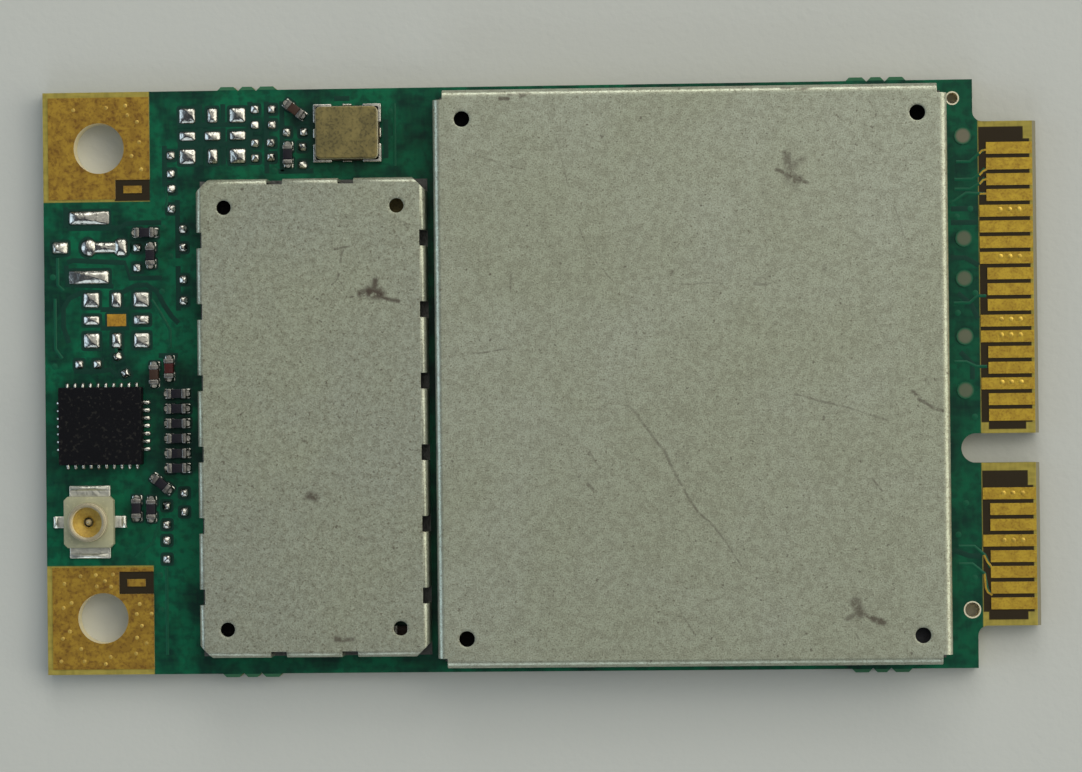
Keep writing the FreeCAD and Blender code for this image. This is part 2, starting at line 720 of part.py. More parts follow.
def antenna_socket():
    """Housing, outer contact and centre contact of the coaxial socket."""
    x = LEFT_EDGE + SOCKET_FROM_END
    y = SOCKET_FROM_LOWER_EDGE - HALF_WIDTH
    radius = BARREL_DIAMETER / 2
    inner = radius - BARREL_WALL
    reach = SOCKET_WIDTH / 2 + SOCKET_TAB_REACH
    side_reach = SOCKET_LENGTH / 2 + SOCKET_SIDE_TAB_REACH
    half_tab = SOCKET_SIDE_TAB_WIDTH / 2
    clear_half = half_tab + BARREL_WALL
    metal = SOCKET_METAL_THICKNESS
    under = LAND_TOP - OVERSHOOT
    low_cut = OVERSHOOT + metal

    shell = socket_barrel(x, y, inner, radius).fuse([
        centred(x, y, SOCKET_TAB_WIDTH, 2 * reach, LAND_TOP, metal),
        block(x - side_reach, y - half_tab, x, y + half_tab, LAND_TOP, metal),
    ])
    bore = rod(x, y, inner, under, SOCKET_HEIGHT + 2 * OVERSHOOT)
    exit_slot = block(x, y - clear_half, x + side_reach + OVERSHOOT, y + clear_half, under, low_cut + metal)
    shell = shell.cut([bore, exit_slot]).removeSplitter()

    pin = rod(x, y, SOCKET_PIN_DIAMETER / 2, LAND_TOP, SOCKET_PIN_HEIGHT)
    strip = block(x, y - half_tab, x + side_reach, y + half_tab, LAND_TOP, metal)
    centre = pin.fuse(strip).removeSplitter()

    housing = centred(x, y, SOCKET_LENGTH, SOCKET_WIDTH, LAND_TOP, SOCKET_BASE_HEIGHT)
    housing = housing.makeChamfer(SOCKET_CHAMFER, upright_edges(housing))
    housing = housing.cut([
        rod(x, y, radius + BARREL_CLEARANCE, LAND_TOP + metal, SOCKET_HEIGHT),
        centred(x, y, 2 * side_reach, 2 * clear_half, under, low_cut),
        centred(x, y, SOCKET_TAB_WIDTH, 2 * reach, under, low_cut),
        rod(x, y, radius + BARREL_CLEARANCE, under, low_cut),
    ])
    return [housing.removeSplitter()], [shell], [centre]


def oscillator():
    """Ceramic base, metal lid and side terminals of the oscillator module."""
    x = LEFT_EDGE + OSCILLATOR_FROM_END
    y = HALF_WIDTH - OSCILLATOR_FROM_UPPER_EDGE
    base = centred(x, y, OSCILLATOR_LENGTH, OSCILLATOR_WIDTH, LAND_TOP, OSCILLATOR_BASE_HEIGHT)
    lid = centred(
        x, y, OSCILLATOR_LENGTH - 2 * OSCILLATOR_LID_INSET, OSCILLATOR_WIDTH - 2 * OSCILLATOR_LID_INSET,
        LAND_TOP + OSCILLATOR_BASE_HEIGHT, OSCILLATOR_LID_HEIGHT)
    lid = lid.makeChamfer(OSCILLATOR_LID_BEVEL, upright_edges(lid) + top_edges(lid))
    tall = COPPER_THICKNESS + OSCILLATOR_BASE_HEIGHT
    across = OSCILLATOR_LENGTH / 2 + TERMINAL_PROUD / 2
    along = OSCILLATOR_WIDTH / 2 + TERMINAL_PROUD / 2
    terminals = []
    for place in (-1, 0, 1):
        length = CORNER_TERMINAL_LENGTH if place else MIDDLE_TERMINAL_LENGTH
        column = x + place * (OSCILLATOR_LENGTH - CORNER_TERMINAL_LENGTH) / 2
        row = y + place * (OSCILLATOR_WIDTH - CORNER_TERMINAL_LENGTH) / 2
        for side in (1, -1):
            terminals.append(centred(column, y + side * along, length, TERMINAL_PROUD, BOARD_TOP, tall))
            terminals.append(centred(x + side * across, row, TERMINAL_PROUD, length, BOARD_TOP, tall))
    ground = centred(x, y, OSCILLATOR_LENGTH / 2, OSCILLATOR_WIDTH / 2, BOARD_TOP, COPPER_THICKNESS)
    return [base], [lid], terminals + [ground]


def controller_chip():
    """Moulded body and the leads and heat pad under its edges."""
    x = LEFT_EDGE + CHIP_FROM_END
    y = CHIP_FROM_LOWER_EDGE - HALF_WIDTH
    seat = LAND_TOP + LEAD_THICKNESS
    body = centred(x, y, CHIP_LENGTH, CHIP_WIDTH, seat, CHIP_HEIGHT - LEAD_THICKNESS)
    body = body.makeChamfer(CHIP_BEVEL, top_edges(body))
    thick = COPPER_THICKNESS + LEAD_THICKNESS
    leads = [centred(x, y, HEAT_PAD_LENGTH, HEAT_PAD_WIDTH, BOARD_TOP, thick)]
    shift = LEAD_LENGTH / 2 - LEAD_PROUD
    for side in (1, -1):
        row = y + side * (CHIP_WIDTH / 2 - shift)
        for along in spaced(LONG_SIDE_LEAD_COUNT, LEAD_PITCH):
            leads.append(centred(x + along, row, LEAD_WIDTH, LEAD_LENGTH, BOARD_TOP, thick))
        column = x + side * (CHIP_LENGTH / 2 - shift)
        for along in spaced(SHORT_SIDE_LEAD_COUNT, LEAD_PITCH):
            leads.append(centred(column, y + along, LEAD_LENGTH, LEAD_WIDTH, BOARD_TOP, thick))
    return [body], leads


def part_pair(x, y, degrees, seat):
    """Body and two end caps of one surface part."""
    body_length = PART_LENGTH - 2 * CAP_LENGTH
    body = centred(x, y, body_length, PART_WIDTH - 2 * CAP_PROUD, seat, PART_HEIGHT - CAP_PROUD)
    offset = (PART_LENGTH - CAP_LENGTH) / 2
    caps = [centred(x + side * offset, y, CAP_LENGTH, PART_WIDTH, seat, PART_HEIGHT) for side in (1, -1)]
    return turned(body, x, y, degrees), [turned(cap, x, y, degrees) for cap in caps]


def land_pair(x, y, degrees, spacing, length, width):
    """Two lands of one footprint."""
    lands = [copper(x + side * spacing / 2, y, length, width) for side in (1, -1)]
    return [turned(land, x, y, degrees) for land in lands]


def open_strip_parts():
    """Fitted two-ended parts beside the small can, and the lands they sit on."""
    bodies, caps, lands = [], [], []
    for from_end, edge, distance, degrees in FITTED_PARTS:
        x, y = LEFT_EDGE + from_end, level(edge, distance)
        body, ends = part_pair(x, y, degrees, LAND_TOP)
        bodies.append(body)
        caps += ends
        lands += land_pair(x, y, degrees, PART_LAND_SPACING, PART_LAND_LENGTH, PART_LAND_WIDTH)
    return bodies, caps, lands


def empty_lands():
    """Tinned lands of the footprints that carry no part."""
    lands = []
    for from_end, edge, distance, degrees, spacing in EMPTY_FOOTPRINTS:
        x, y = LEFT_EDGE + from_end, level(edge, distance)
        lands += land_pair(x, y, degrees, spacing, EMPTY_LAND_LENGTH, EMPTY_LAND_WIDTH)
    return lands


def filter_lands(x, y, centre_land):
    """Three by three lands, narrow in the middle column and low in the middle row."""
    lands = []
    for column in (-1, 0, 1):
        for row in (-1, 0, 1):
            if not column and not row and not centre_land:
                continue
            length = FILTER_LAND_LENGTH if column or not row else FILTER_NARROW_LENGTH
            width = FILTER_LAND_WIDTH if row else FILTER_MIDDLE_WIDTH
            lands.append(copper(x + column * FILTER_COLUMN_PITCH, y + row * FILTER_ROW_PITCH, length, width))
    return lands


def spare_socket_lands():
    """Lands of the unfitted antenna socket: two bars, a side land and a dumbbell."""
    x = LEFT_EDGE + SPARE_FROM_END
    y = HALF_WIDTH - SPARE_FROM_UPPER_EDGE
    lands = [copper(x, y + side * SPARE_BAR_OFFSET, SPARE_BAR_LENGTH, SPARE_BAR_WIDTH) for side in (1, -1)]
    lands.append(copper(x - SPARE_SIDE_OFFSET, y, SPARE_SIDE_LENGTH, SPARE_SIDE_WIDTH))
    bulbs = [round_pad(x + place * SPARE_BULB_SPACING, y, SPARE_BULB_DIAMETER, BOARD_TOP) for place in (0, 1)]
    neck = copper(x + SPARE_BULB_SPACING / 2, y, SPARE_BULB_SPACING, SPARE_NECK_WIDTH)
    lands.append(neck.fuse(bulbs).removeSplitter())
    return lands


def tented_pads():
    """Round pads under the mask between the large cover and the tongue."""
    pads = []
    for from_upper in TENTED_PAD_LEVELS:
        x = SHOULDER - TENTED_PAD_FROM_SHOULDER
        pads.append(round_pad(x, level("upper", from_upper), TENTED_PAD_DIAMETER, BOARD_TOP))
    return pads


def test_pads():
    """Two rows of round gold test pads on the underside, behind the large shield."""
    pads = []
    for column in range(TEST_PAD_COLUMNS):
        for row in range(TEST_PAD_ROWS):
            x = LARGE_COVER[0] + (column + 1) * TEST_PAD_PITCH
            y = level("lower", TEST_PAD_FROM_LOWER_EDGE + row * TEST_PAD_PITCH)
            pads.append(round_pad(x, y, TEST_PAD_DIAMETER, 0))
    return pads


def solder_posts(x, y):
    """Two rings of square posts under the processor."""
    places = spaced(SOLDER_POST_COUNT, SOLDER_POST_PITCH)
    inner = places[2:-2]
    return [centred(x + i, y + j, SOLDER_POST_SIZE, SOLDER_POST_SIZE, BOARD_TOP, SOLDER_POST_HEIGHT)
            for i in places for j in places if i not in inner or j not in inner]


def inductor(x, y):
    """Ferrite block with bevelled corners."""
    coil = centred(x, y, INDUCTOR_LENGTH, INDUCTOR_WIDTH, BOARD_TOP, INDUCTOR_HEIGHT)
    return coil.makeChamfer(INDUCTOR_BEVEL, upright_edges(coil))


def large_side():
    """Parts under the large shield, by name."""
    x0, y0, x1, y1 = grown(frame_rectangle(), -FRAME_LIP)
    processor = (x0 + PROCESSOR_SIZE / 2, y1 - PROCESSOR_SIZE / 2)
    memory = (x0 + MEMORY_LENGTH / 2, y0 + MEMORY_WIDTH / 2)
    power = (x1 - POWER_CHIP_SIZE / 2, y1 - POWER_CHIP_SIZE / 2)
    crystal = (x1 - CRYSTAL_LENGTH / 2, y1 - POWER_CHIP_SIZE - CHIP_SPACING - CRYSTAL_WIDTH / 2)
    inductor_x = x1 - INDUCTOR_LENGTH / 2
    inductor_step = INDUCTOR_WIDTH + CHIP_SPACING
    inductor_y = [y0 + INDUCTOR_WIDTH / 2 + i * inductor_step for i in range(INDUCTOR_COUNT)]
    column_x = x0 + PROCESSOR_SIZE + CHIP_SPACING + PART_WIDTH / 2
    bodies, caps = [], []
    for i in range(INNER_PART_COUNT):
        for y in (y1 - PART_LENGTH - i * INNER_PART_PITCH, y0 + PART_LENGTH + i * INNER_PART_PITCH):
            body, ends = part_pair(column_x, y, 90, BOARD_TOP)
            bodies.append(body)
            caps += ends
    return {
        "baseband_processor": [centred(
            *processor, PROCESSOR_SIZE, PROCESSOR_SIZE,
            BOARD_TOP + SOLDER_POST_HEIGHT, PROCESSOR_HEIGHT - SOLDER_POST_HEIGHT)],
        "baseband_solder_posts": solder_posts(*processor),
        "memory_chip": [centred(*memory, MEMORY_LENGTH, MEMORY_WIDTH, BOARD_TOP, MEMORY_HEIGHT)],
        "power_manager_chip": [centred(
            *power, POWER_CHIP_SIZE, POWER_CHIP_SIZE, BOARD_TOP, POWER_CHIP_HEIGHT)],
        "main_crystal": [centred(*crystal, CRYSTAL_LENGTH, CRYSTAL_WIDTH, BOARD_TOP, CRYSTAL_HEIGHT)],
        "power_inductors": [inductor(inductor_x, y) for y in inductor_y],
        "large_side_capacitor_bodies": bodies,
        "large_side_capacitor_caps": caps,
    }


def chip_column(x, top, length, width, height, count):
    """Equal chips one below another, from a top line downwards."""
    step = width + CHIP_SPACING
    return [centred(x, top - width / 2 - i * step, length, width, BOARD_TOP, height) for i in range(count)]


def small_side():
    """Parts under the small can, by name."""
    x0, y0, x1, y1 = grown(SMALL_CAN, -SMALL_CAN_SHEET - CHIP_SPACING)
    middle = ((x0 + x1) / 2, (y0 + y1) / 2)
    amplifier_x = x0 + AMPLIFIER_SIZE / 2
    duplexer_x = x1 - DUPLEXER_LENGTH / 2
    switch = (x0 + SWITCH_SIZE / 2, y0 + SWITCH_SIZE / 2)
    bodies, caps = [], []
    for i in range(INNER_PART_COUNT - 1):
        for x in (x1 - PART_LENGTH / 2, x1 - PART_LENGTH * 3 / 2 - CHIP_SPACING):
            body, ends = part_pair(x, y0 + PART_WIDTH / 2 + i * INNER_PART_PITCH, 0, BOARD_TOP)
            bodies.append(body)
            caps += ends
    return {
        "radio_transceiver": [centred(
            *middle, TRANSCEIVER_SIZE, TRANSCEIVER_SIZE, BOARD_TOP, TRANSCEIVER_HEIGHT)],
        "power_amplifier_chips": chip_column(
            amplifier_x, y1, AMPLIFIER_SIZE, AMPLIFIER_SIZE, AMPLIFIER_HEIGHT, 2),
        "duplexer_filters": chip_column(
            duplexer_x, y1, DUPLEXER_LENGTH, DUPLEXER_WIDTH, DUPLEXER_HEIGHT, 2),
        "antenna_switch_chip": [centred(*switch, SWITCH_SIZE, SWITCH_SIZE, BOARD_TOP, SWITCH_HEIGHT)],
        "small_side_capacitor_bodies": bodies,
        "small_side_capacitor_caps": caps,
    }


def all_nodes():
    """Every node's solids, by node name."""
    housing, shell, centre = antenna_socket()
    base, lid, terminals = oscillator()
    chip, leads = controller_chip()
    bodies, caps, lands = open_strip_parts()
    upper_filter = (LEFT_EDGE + UPPER_FILTER_FROM_END, HALF_WIDTH - UPPER_FILTER_FROM_UPPER_EDGE)
    lower_filter = (LEFT_EDGE + LOWER_FILTER_FROM_END, LOWER_FILTER_FROM_LOWER_EDGE - HALF_WIDTH)
    nodes = {
        "circuit_board": circuit_board(),
        "contact_fingers_top": top_contacts(),
        "contact_fingers_bottom": bottom_contacts(),
        "upper_mounting_land": upper_mounting_land(),
        "lower_mounting_land": lower_mounting_land(),
        "small_shield_ground_track": [track(SMALL_CAN, TRACK_WIDTH)],
        "small_shield_can": small_shield_can(),
        "large_shield_ground_track": [track(frame_rectangle(), TRACK_WIDTH)],
        "large_shield_frame": large_shield_frame(),
        "large_shield_cover": large_shield_cover(),
        "antenna_socket_housing": housing,
        "antenna_socket_outer_contact": shell,
        "antenna_socket_centre_contact": centre,
        "oscillator_base": base,
        "oscillator_lid": lid,
        "oscillator_terminals": terminals,
        "controller_chip_body": chip,
        "controller_chip_leads": leads,
        "open_strip_part_bodies": bodies,
        "open_strip_part_caps": caps,
        "open_strip_part_lands": lands,
        "empty_footprint_lands": empty_lands(),
        "upper_filter_lands": filter_lands(*upper_filter, True),
        "lower_filter_lands": filter_lands(*lower_filter, False),
        "lower_filter_gold_land": [copper(*lower_filter, GOLD_LAND_LENGTH, GOLD_LAND_WIDTH)],
        "spare_socket_lands": spare_socket_lands(),
        "tented_round_pads": tented_pads(),
        "bottom_test_pads": test_pads(),
    }
    nodes.update(large_side())
    nodes.update(small_side())
    return nodes


def main():
    """Write one STEP file for each node."""
    os.makedirs("parts", exist_ok=True)
    for name, solids in all_nodes().items():
        shape = solids[0] if len(solids) == 1 else Part.makeCompound(solids)
        shape.exportStep("parts/" + name + ".step")
        print(name, len(solids), "valid" if shape.isValid() else "NOT VALID", round(shape.Volume, 4))


main()
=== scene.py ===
"""Dresses the full-size mini PCIe card and sets its floor, lamps and camera.

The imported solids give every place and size. The classes below build the folded
shields, the solder, the rounded parts and all finishes over them. Shapes are
built in millimetres in the row frame and scaled to metres when they are placed.
"""
import logging
import math
import random
from dataclasses import dataclass, field, replace
from enum import Enum
from functools import reduce
from typing import Iterable, Sequence, Union

import bmesh
import bpy
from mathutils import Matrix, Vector


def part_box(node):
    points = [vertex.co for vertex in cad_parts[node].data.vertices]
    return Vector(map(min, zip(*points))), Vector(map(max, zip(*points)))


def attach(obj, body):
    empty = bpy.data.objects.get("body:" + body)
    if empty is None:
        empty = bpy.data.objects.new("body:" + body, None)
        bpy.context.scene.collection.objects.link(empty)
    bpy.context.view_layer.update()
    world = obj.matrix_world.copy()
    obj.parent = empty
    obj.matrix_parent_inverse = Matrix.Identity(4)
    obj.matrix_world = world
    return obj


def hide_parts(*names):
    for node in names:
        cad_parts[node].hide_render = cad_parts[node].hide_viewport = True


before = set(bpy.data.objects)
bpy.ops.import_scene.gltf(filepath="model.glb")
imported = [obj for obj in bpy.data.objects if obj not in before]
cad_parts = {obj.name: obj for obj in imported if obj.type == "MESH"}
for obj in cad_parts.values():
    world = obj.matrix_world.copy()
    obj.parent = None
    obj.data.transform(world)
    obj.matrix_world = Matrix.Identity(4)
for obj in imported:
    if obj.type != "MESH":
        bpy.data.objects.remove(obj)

log = logging.getLogger("card")

METRES = 0.001
BODY = "root"
CARD_LENGTH = 50.95
CARD_WIDTH = 30.0
BOARD_TOP = 1.04
BOARD_BOTTOM = 0.04
LAND_TOP = 1.08
PHOTO_WIDTH = 1082

Colour = tuple[float, float, float]
Point = tuple[float, float]


def srgb(red: int, green: int, blue: int) -> Colour:
    """Linear colour of an sRGB colour.

    Args:
        red: Red from 0 to 255.
        green: Green from 0 to 255.
        blue: Blue from 0 to 255.

    Returns:
        The colour's linear parts from 0 to 1.
    """
    return tuple(
        (c / 12.92 if c <= 0.04045 else ((c + 0.055) / 1.055) ** 2.4)
        for c in (red / 255, green / 255, blue / 255))


def spot(along: float, across: float) -> Point:
    """Row frame place of a distance from the screw end and one from the upper edge."""
    return (along - CARD_LENGTH / 2, CARD_WIDTH / 2 - across)


# ---------------------------------------------------------------- shader maths

class Value:
    """A shader socket that takes part in Python arithmetic."""

    def __init__(self, graph: "Graph", socket: bpy.types.NodeSocket) -> None:
        """Wraps one socket of a graph."""
        self.graph = graph
        self.socket = socket

    @property
    def is_vector(self) -> bool:
        """Whether the socket carries three numbers."""
        return self.socket.type in ("VECTOR", "RGBA")

    def _maths(self, operation: str, left: "Operand", right: "Operand" = 0.0) -> "Value":
        """Adds the maths node of one operation.

        Args:
            operation: Name of the operation in Blender's maths nodes.
            left: First operand.
            right: Second operand.

        Returns:
            The result's socket.
        """
        kind = "ShaderNodeVectorMath" if self.is_vector else "ShaderNodeMath"
        node = self.graph.node(kind, {"operation": operation}, {0: left, 1: right})
        scalar = self.is_vector and operation in ("DOT_PRODUCT", "LENGTH")
        return Value(self.graph, node.outputs[1 if scalar else 0])

    def __add__(self, other: "Operand") -> "Value":
        """Sum."""
        return self._maths("ADD", self, other)

    __radd__ = __add__

    def __sub__(self, other: "Operand") -> "Value":
        """Difference."""
        return self._maths("SUBTRACT", self, other)

    def __rsub__(self, other: "Operand") -> "Value":
        """Difference from a plain number or vector."""
        return self._maths("SUBTRACT", other, self)

    def __mul__(self, other: "Operand") -> "Value":
        """Product; a vector times a number is scaled.

        Args:
            other: Second factor.

        Returns:
            The product's socket.
        """
        number = isinstance(other, (int, float)) or (isinstance(other, Value) and not other.is_vector)
        if self.is_vector and number:
            return self.graph.scaled(self, other)
        return self._maths("MULTIPLY", self, other)

    __rmul__ = __mul__

    def __abs__(self) -> "Value":
        """Size without its sign."""
        return self._maths("ABSOLUTE", self)

    def least(self, other: "Operand") -> "Value":
        """Smaller of the two."""
        return self._maths("MINIMUM", self, other)

    def most(self, other: "Operand") -> "Value":
        """Larger of the two."""
        return self._maths("MAXIMUM", self, other)

    def dot(self, other: "Operand") -> "Value":
        """Dot product of two vectors."""
        return self._maths("DOT_PRODUCT", self, other)

    def length(self) -> "Value":
        """Length of a vector."""
        return self._maths("LENGTH", self)

    def rise(self, low: float, high: float) -> "Value":
        """Smooth step from 0 at one level to 1 at another.

        Args:
            low: Level that gives 0.
            high: Level that gives 1; it may be the lower of the two.

        Returns:
            The step's socket.
        """
        node = self.graph.node("ShaderNodeMapRange", {"interpolation_type": "SMOOTHSTEP"}, {
            "Value": self, "From Min": low, "From Max": high})
        return Value(self.graph, node.outputs[0])

    def part(self, axis: int) -> "Value":
        """One of a vector's three numbers."""
        return Value(self.graph, self.graph.node("ShaderNodeSeparateXYZ", {}, {0: self}).outputs[axis])


Operand = Union[Value, float, tuple]


class Graph:
    """Node tree of one finish, with short calls for the nodes it uses."""

    MIX_FACTOR, MIX_A, MIX_B, MIX_RESULT = 0, 6, 7, 2

    def __init__(self, owner: Union[bpy.types.Material, bpy.types.World]) -> None:
        """Opens the node tree of a new material or of the surroundings.

        Args:
            owner: Material or world that the tree belongs to.
        """
        self.owner = owner
        owner.use_nodes = True
        self.tree = owner.node_tree
        kind = "Background" if isinstance(owner, bpy.types.World) else "Principled BSDF"
        self.shader = self.tree.nodes[kind]

    def node(self, kind: str, settings: dict, inputs: dict) -> bpy.types.Node:
        """Adds a node, sets its settings and then its sockets.

        Args:
            kind: Blender's type name of the node.
            settings: Attributes of the node.
            inputs: Values or links by socket name or number.

        Returns:
            The new node.
        """
        node = self.tree.nodes.new(kind)
        for name, value in settings.items():
            setattr(node, name, value)
        for key, value in inputs.items():
            self.feed(node.inputs[key], value)
        return node

    def feed(self, socket: bpy.types.NodeSocket, value: Operand) -> None:
        """Links a value to a socket or writes a constant on it.

        Args:
            socket: Socket to feed.
            value: Wrapped socket or constant.
        """
        if isinstance(value, Value):
            self.tree.links.new(value.socket, socket)
        elif socket.type == "RGBA" and len(value) == 3:
            socket.default_value = (*value, 1.0)
        elif socket.type == "VECTOR" and isinstance(value, (int, float)):
            socket.default_value = (value, value, value)
        else:
            socket.default_value = value

    def scaled(self, vector: Operand, number: Operand) -> Value:
        """A vector times a number."""
        node = self.node("ShaderNodeVectorMath", {"operation": "SCALE"}, {0: vector, "Scale": number})
        return Value(self, node.outputs[0])

    def place(self) -> Value:
        """Place on the object in the row frame, in millimetres."""
        return Value(self, self.node("ShaderNodeTexCoord", {}, {}).outputs["Object"]) * (1 / METRES)

    def facing(self) -> Value:
        """Direction that the surface faces, in the row frame."""
        return Value(self, self.node("ShaderNodeTexCoord", {}, {}).outputs["Normal"])

    def noise(self, place: Value, scale: float, detail: float = 2.0, stretch: float = 0.0) -> Value:
        """Cloudy pattern from 0 to 1.

        Args:
            place: Place in millimetres.
            scale: Blotches per millimetre.
            detail: Octaves of finer cloud.
            stretch: Distortion of the pattern.

        Returns:
            The pattern's socket.
        """
        return Value(self, self.node("ShaderNodeTexNoise", {}, {
            "Vector": place, "Scale": scale, "Detail": detail, "Distortion": stretch}).outputs[0])

    def mix(self, factor: Operand, start: Operand, end: Operand) -> Value:
        """Colour between two colours.

        Args:
            factor: 0 gives the first colour and 1 the second.
            start: First colour.
            end: Second colour.

        Returns:
            The mixed colour's socket.
        """
        node = self.node("ShaderNodeMix", {"data_type": "RGBA"}, {
            self.MIX_FACTOR: factor, self.MIX_A: start, self.MIX_B: end})
        return Value(self, node.outputs[self.MIX_RESULT])

    def inside(self, place: Value, low: Point, high: Point, soft: float = 0.03) -> Value:
        """1 inside an upright rectangle and 0 outside it.

        Args:
            place: Place in millimetres.
            low: Lowest corner.
            high: Highest corner.
            soft: Width of the border's blur.

        Returns:
            The rectangle's socket.
        """
        bands = []
        for axis in (0, 1):
            middle = (low[axis] + high[axis]) / 2
            half = (high[axis] - low[axis]) / 2
            bands.append(abs(place.part(axis) - middle).rise(half + soft, half - soft))
        return bands[0] * bands[1]

    def stroke(self, place: Value, start: Point, end: Point, width: float) -> Value:
        """1 along a straight mark, fading to 0 at its width.

        Args:
            place: Flattened place in millimetres.
            start: One end of the mark.
            end: Other end of the mark.
            width: Distance at which the mark has faded.

        Returns:
            The mark's socket.
        """
        run = (end[0] - start[0], end[1] - start[1], 0.0)
        size = max(run[0] ** 2 + run[1] ** 2, 1e-6)
        offset = place - (*start, 0.0)
        share = (offset.dot(run) * (1 / size)).most(0.0).least(1.0)
        return (offset - self.scaled(run, share)).length().rise(width, width * 0.2)

    def bump(self, height: Value, depth: float) -> None:
        """Roughens the surface by a pattern.

        Args:
            height: Pattern from 0 to 1.
            depth: Depth of the pattern in millimetres.
        """
        node = self.node("ShaderNodeBump", {}, {
            "Height": height, "Distance": depth * METRES, "Strength": 1.0})
        self.tree.links.new(node.outputs[0], self.shader.inputs["Normal"])

    def finish(self, **sockets: Operand) -> Union[bpy.types.Material, bpy.types.World]:
        """Feeds the shader's sockets and gives back the tree's owner.

        Args:
            **sockets: Values by socket name, with underscores for spaces.

        Returns:
            The finished material or world.
        """
        for name, value in sockets.items():
            self.feed(self.shader.inputs[name.replace("_", " ")], value)
        return self.owner


# ------------------------------------------------------------------- finishes

def area(start: Point, end: Point) -> tuple[Point, Point]:
    """Lowest and highest corner of a rectangle between two measured places."""
    return spot(start[0], end[1]), spot(end[0], start[1])


def shade(colour: Colour, share: float) -> Colour:
    """A colour made darker or lighter by one factor."""
    return tuple(part * share for part in colour)


LAND_MARGINS = (((-26, 9.35), (-19.95, 16)), ((-26, -16), (-19.95, -9.4)))
BARE_AREAS = (
    area((48.03, 3.05), (50.62, 17.5)),
    area((48.03, 2.43), (50.3, 3.1)),
    area((48.4, 17.4), (50.3, 17.85)),
    area((48.03, 20.7), (50.62, 27.15)),
    area((48.03, 19.95), (50.35, 20.75)),
    area((48.3, 27.1), (50.3, 27.55)),
    area((3.7, 4.5), (5.6, 5.62)),
    area((3.7, 24.65), (5.56, 25.9)),
)


@dataclass(frozen=True)
class Finish:
    """A surface finish; each kind of surface has its own subclass."""

    name: str
    colour: Colour
    roughness: float = 0.5
    metallic: float = 0.0
    shine: float = 0.2

    def material(self) -> bpy.types.Material:
        """The finish as a material, made once."""
        title = f"finish_{self.name}"
        return bpy.data.materials.get(title) or self.build(Graph(bpy.data.materials.new(title)))

    def build(self, graph: Graph) -> bpy.types.Material:
        """Lays out a slightly uneven surface of one colour.

        Args:
            graph: Empty node tree.

        Returns:
            The finished material.
        """
        place = graph.place()
        cloud = graph.noise(place, 1.7, 3)
        grain = graph.noise(place, 14, 2)
        colour = graph.mix(cloud, shade(self.colour, 0.8), shade(self.colour, 1.15))
        graph.bump(grain, 0.004)
        return graph.finish(
            Base_Color=colour, Roughness=grain * 0.2 + (self.roughness - 0.1), Metallic=self.metallic,
            Specular_IOR_Level=self.shine)


@dataclass(frozen=True)
class SolderMask(Finish):
    """Glossy green mask over woven laminate, with bare laminate round the contacts and painted shade on the
    mask towards them.
    """

    bare: Colour = srgb(150, 136, 62)
    dark: Colour = srgb(40, 32, 17)
    # Darker green of the mask's random patches, also used for its painted shade.
    deep_green_and_shade: Colour = srgb(4, 42, 33)
    nub: Colour = srgb(52, 98, 70)
    thread: Colour = srgb(20, 92, 56)
    bevel: Colour = srgb(114, 110, 90)
    plies: tuple[Colour, Colour] = (srgb(118, 116, 62), srgb(70, 82, 44))
    # Where the painted shade on the mask begins, along X in millimetres.
    painted_shade_start: float = 20.0
    tongue_start: float = 22.5
    bevel_start: float = 25.15

    def build(self, graph: Graph) -> bpy.types.Material:
        """Lays out the mask with painted shade towards the tongue, the bare tongue, the land margins and the
        cut edges.

        Args:
            graph: Empty node tree.

        Returns:
            The finished material.
        """
        place = graph.place()
        x, y, z = (place.part(axis) for axis in (0, 1, 2))
        cloud = graph.noise(place, 0.5, 3, 0.4)
        weave = graph.noise(place * (1.0, 0.25, 1.0), 5, 1) + graph.noise(place * (0.25, 1.0, 1.0), 5, 1)
        fine = graph.noise(place, 2.6, 3)
        green = graph.mix(cloud.rise(0.35, 0.68), self.colour, self.deep_green_and_shade)
        green = graph.mix(fine.rise(0.42, 0.68) * 0.55, green, self.deep_green_and_shade)
        green = graph.mix(weave.rise(0.85, 1.3) * 0.2, green, self.thread)
        # Painted shade: the mask is darkened over its right end, towards the tongue.
        green = graph.mix(x.rise(self.painted_shade_start, self.painted_shade_start + 1) * 0.35, green, self.deep_green_and_shade)
        green = graph.mix(abs(y).rise(CARD_WIDTH / 2, CARD_WIDTH / 2 + 0.03), green, self.nub)
        tongue = x.rise(self.tongue_start, self.tongue_start + 0.06)
        margins = [graph.inside(place, *margin) for margin in LAND_MARGINS]
        unmasked = (margins[0] + margins[1]).most(tongue)
        bare = graph.mix(weave.rise(0.7, 1.4), self.bare, shade(self.bare, 0.72))
        clear = reduce(Value.most, [graph.inside(place, *corner_pair) for corner_pair in BARE_AREAS])
        colour = graph.mix(unmasked, green, graph.mix(clear, bare, self.dark))
        side = abs(graph.facing().part(2)).rise(0.6, 0.3)
        layers = graph.noise(place * (0.02, 0.02, 1.0), 9, 0).rise(0.45, 0.6)
        edge = graph.mix(layers, *self.plies)
        slope = abs(z - (BOARD_TOP + BOARD_BOTTOM) / 2).rise(0.495, 0.47) * x.rise(
            self.bevel_start, self.bevel_start + 0.05)
        colour = graph.mix(side.most(slope), colour, graph.mix(slope, edge, self.bevel))
        graph.bump(weave, 0.006)
        covered = (1 - unmasked.most(side)).most(0.0)
        return graph.finish(
            Base_Color=colour, Roughness=0.62 - covered * 0.3 + cloud * 0.06, Metallic=0.0,
            Coat_Weight=covered * 0.04, Specular_IOR_Level=0.14)


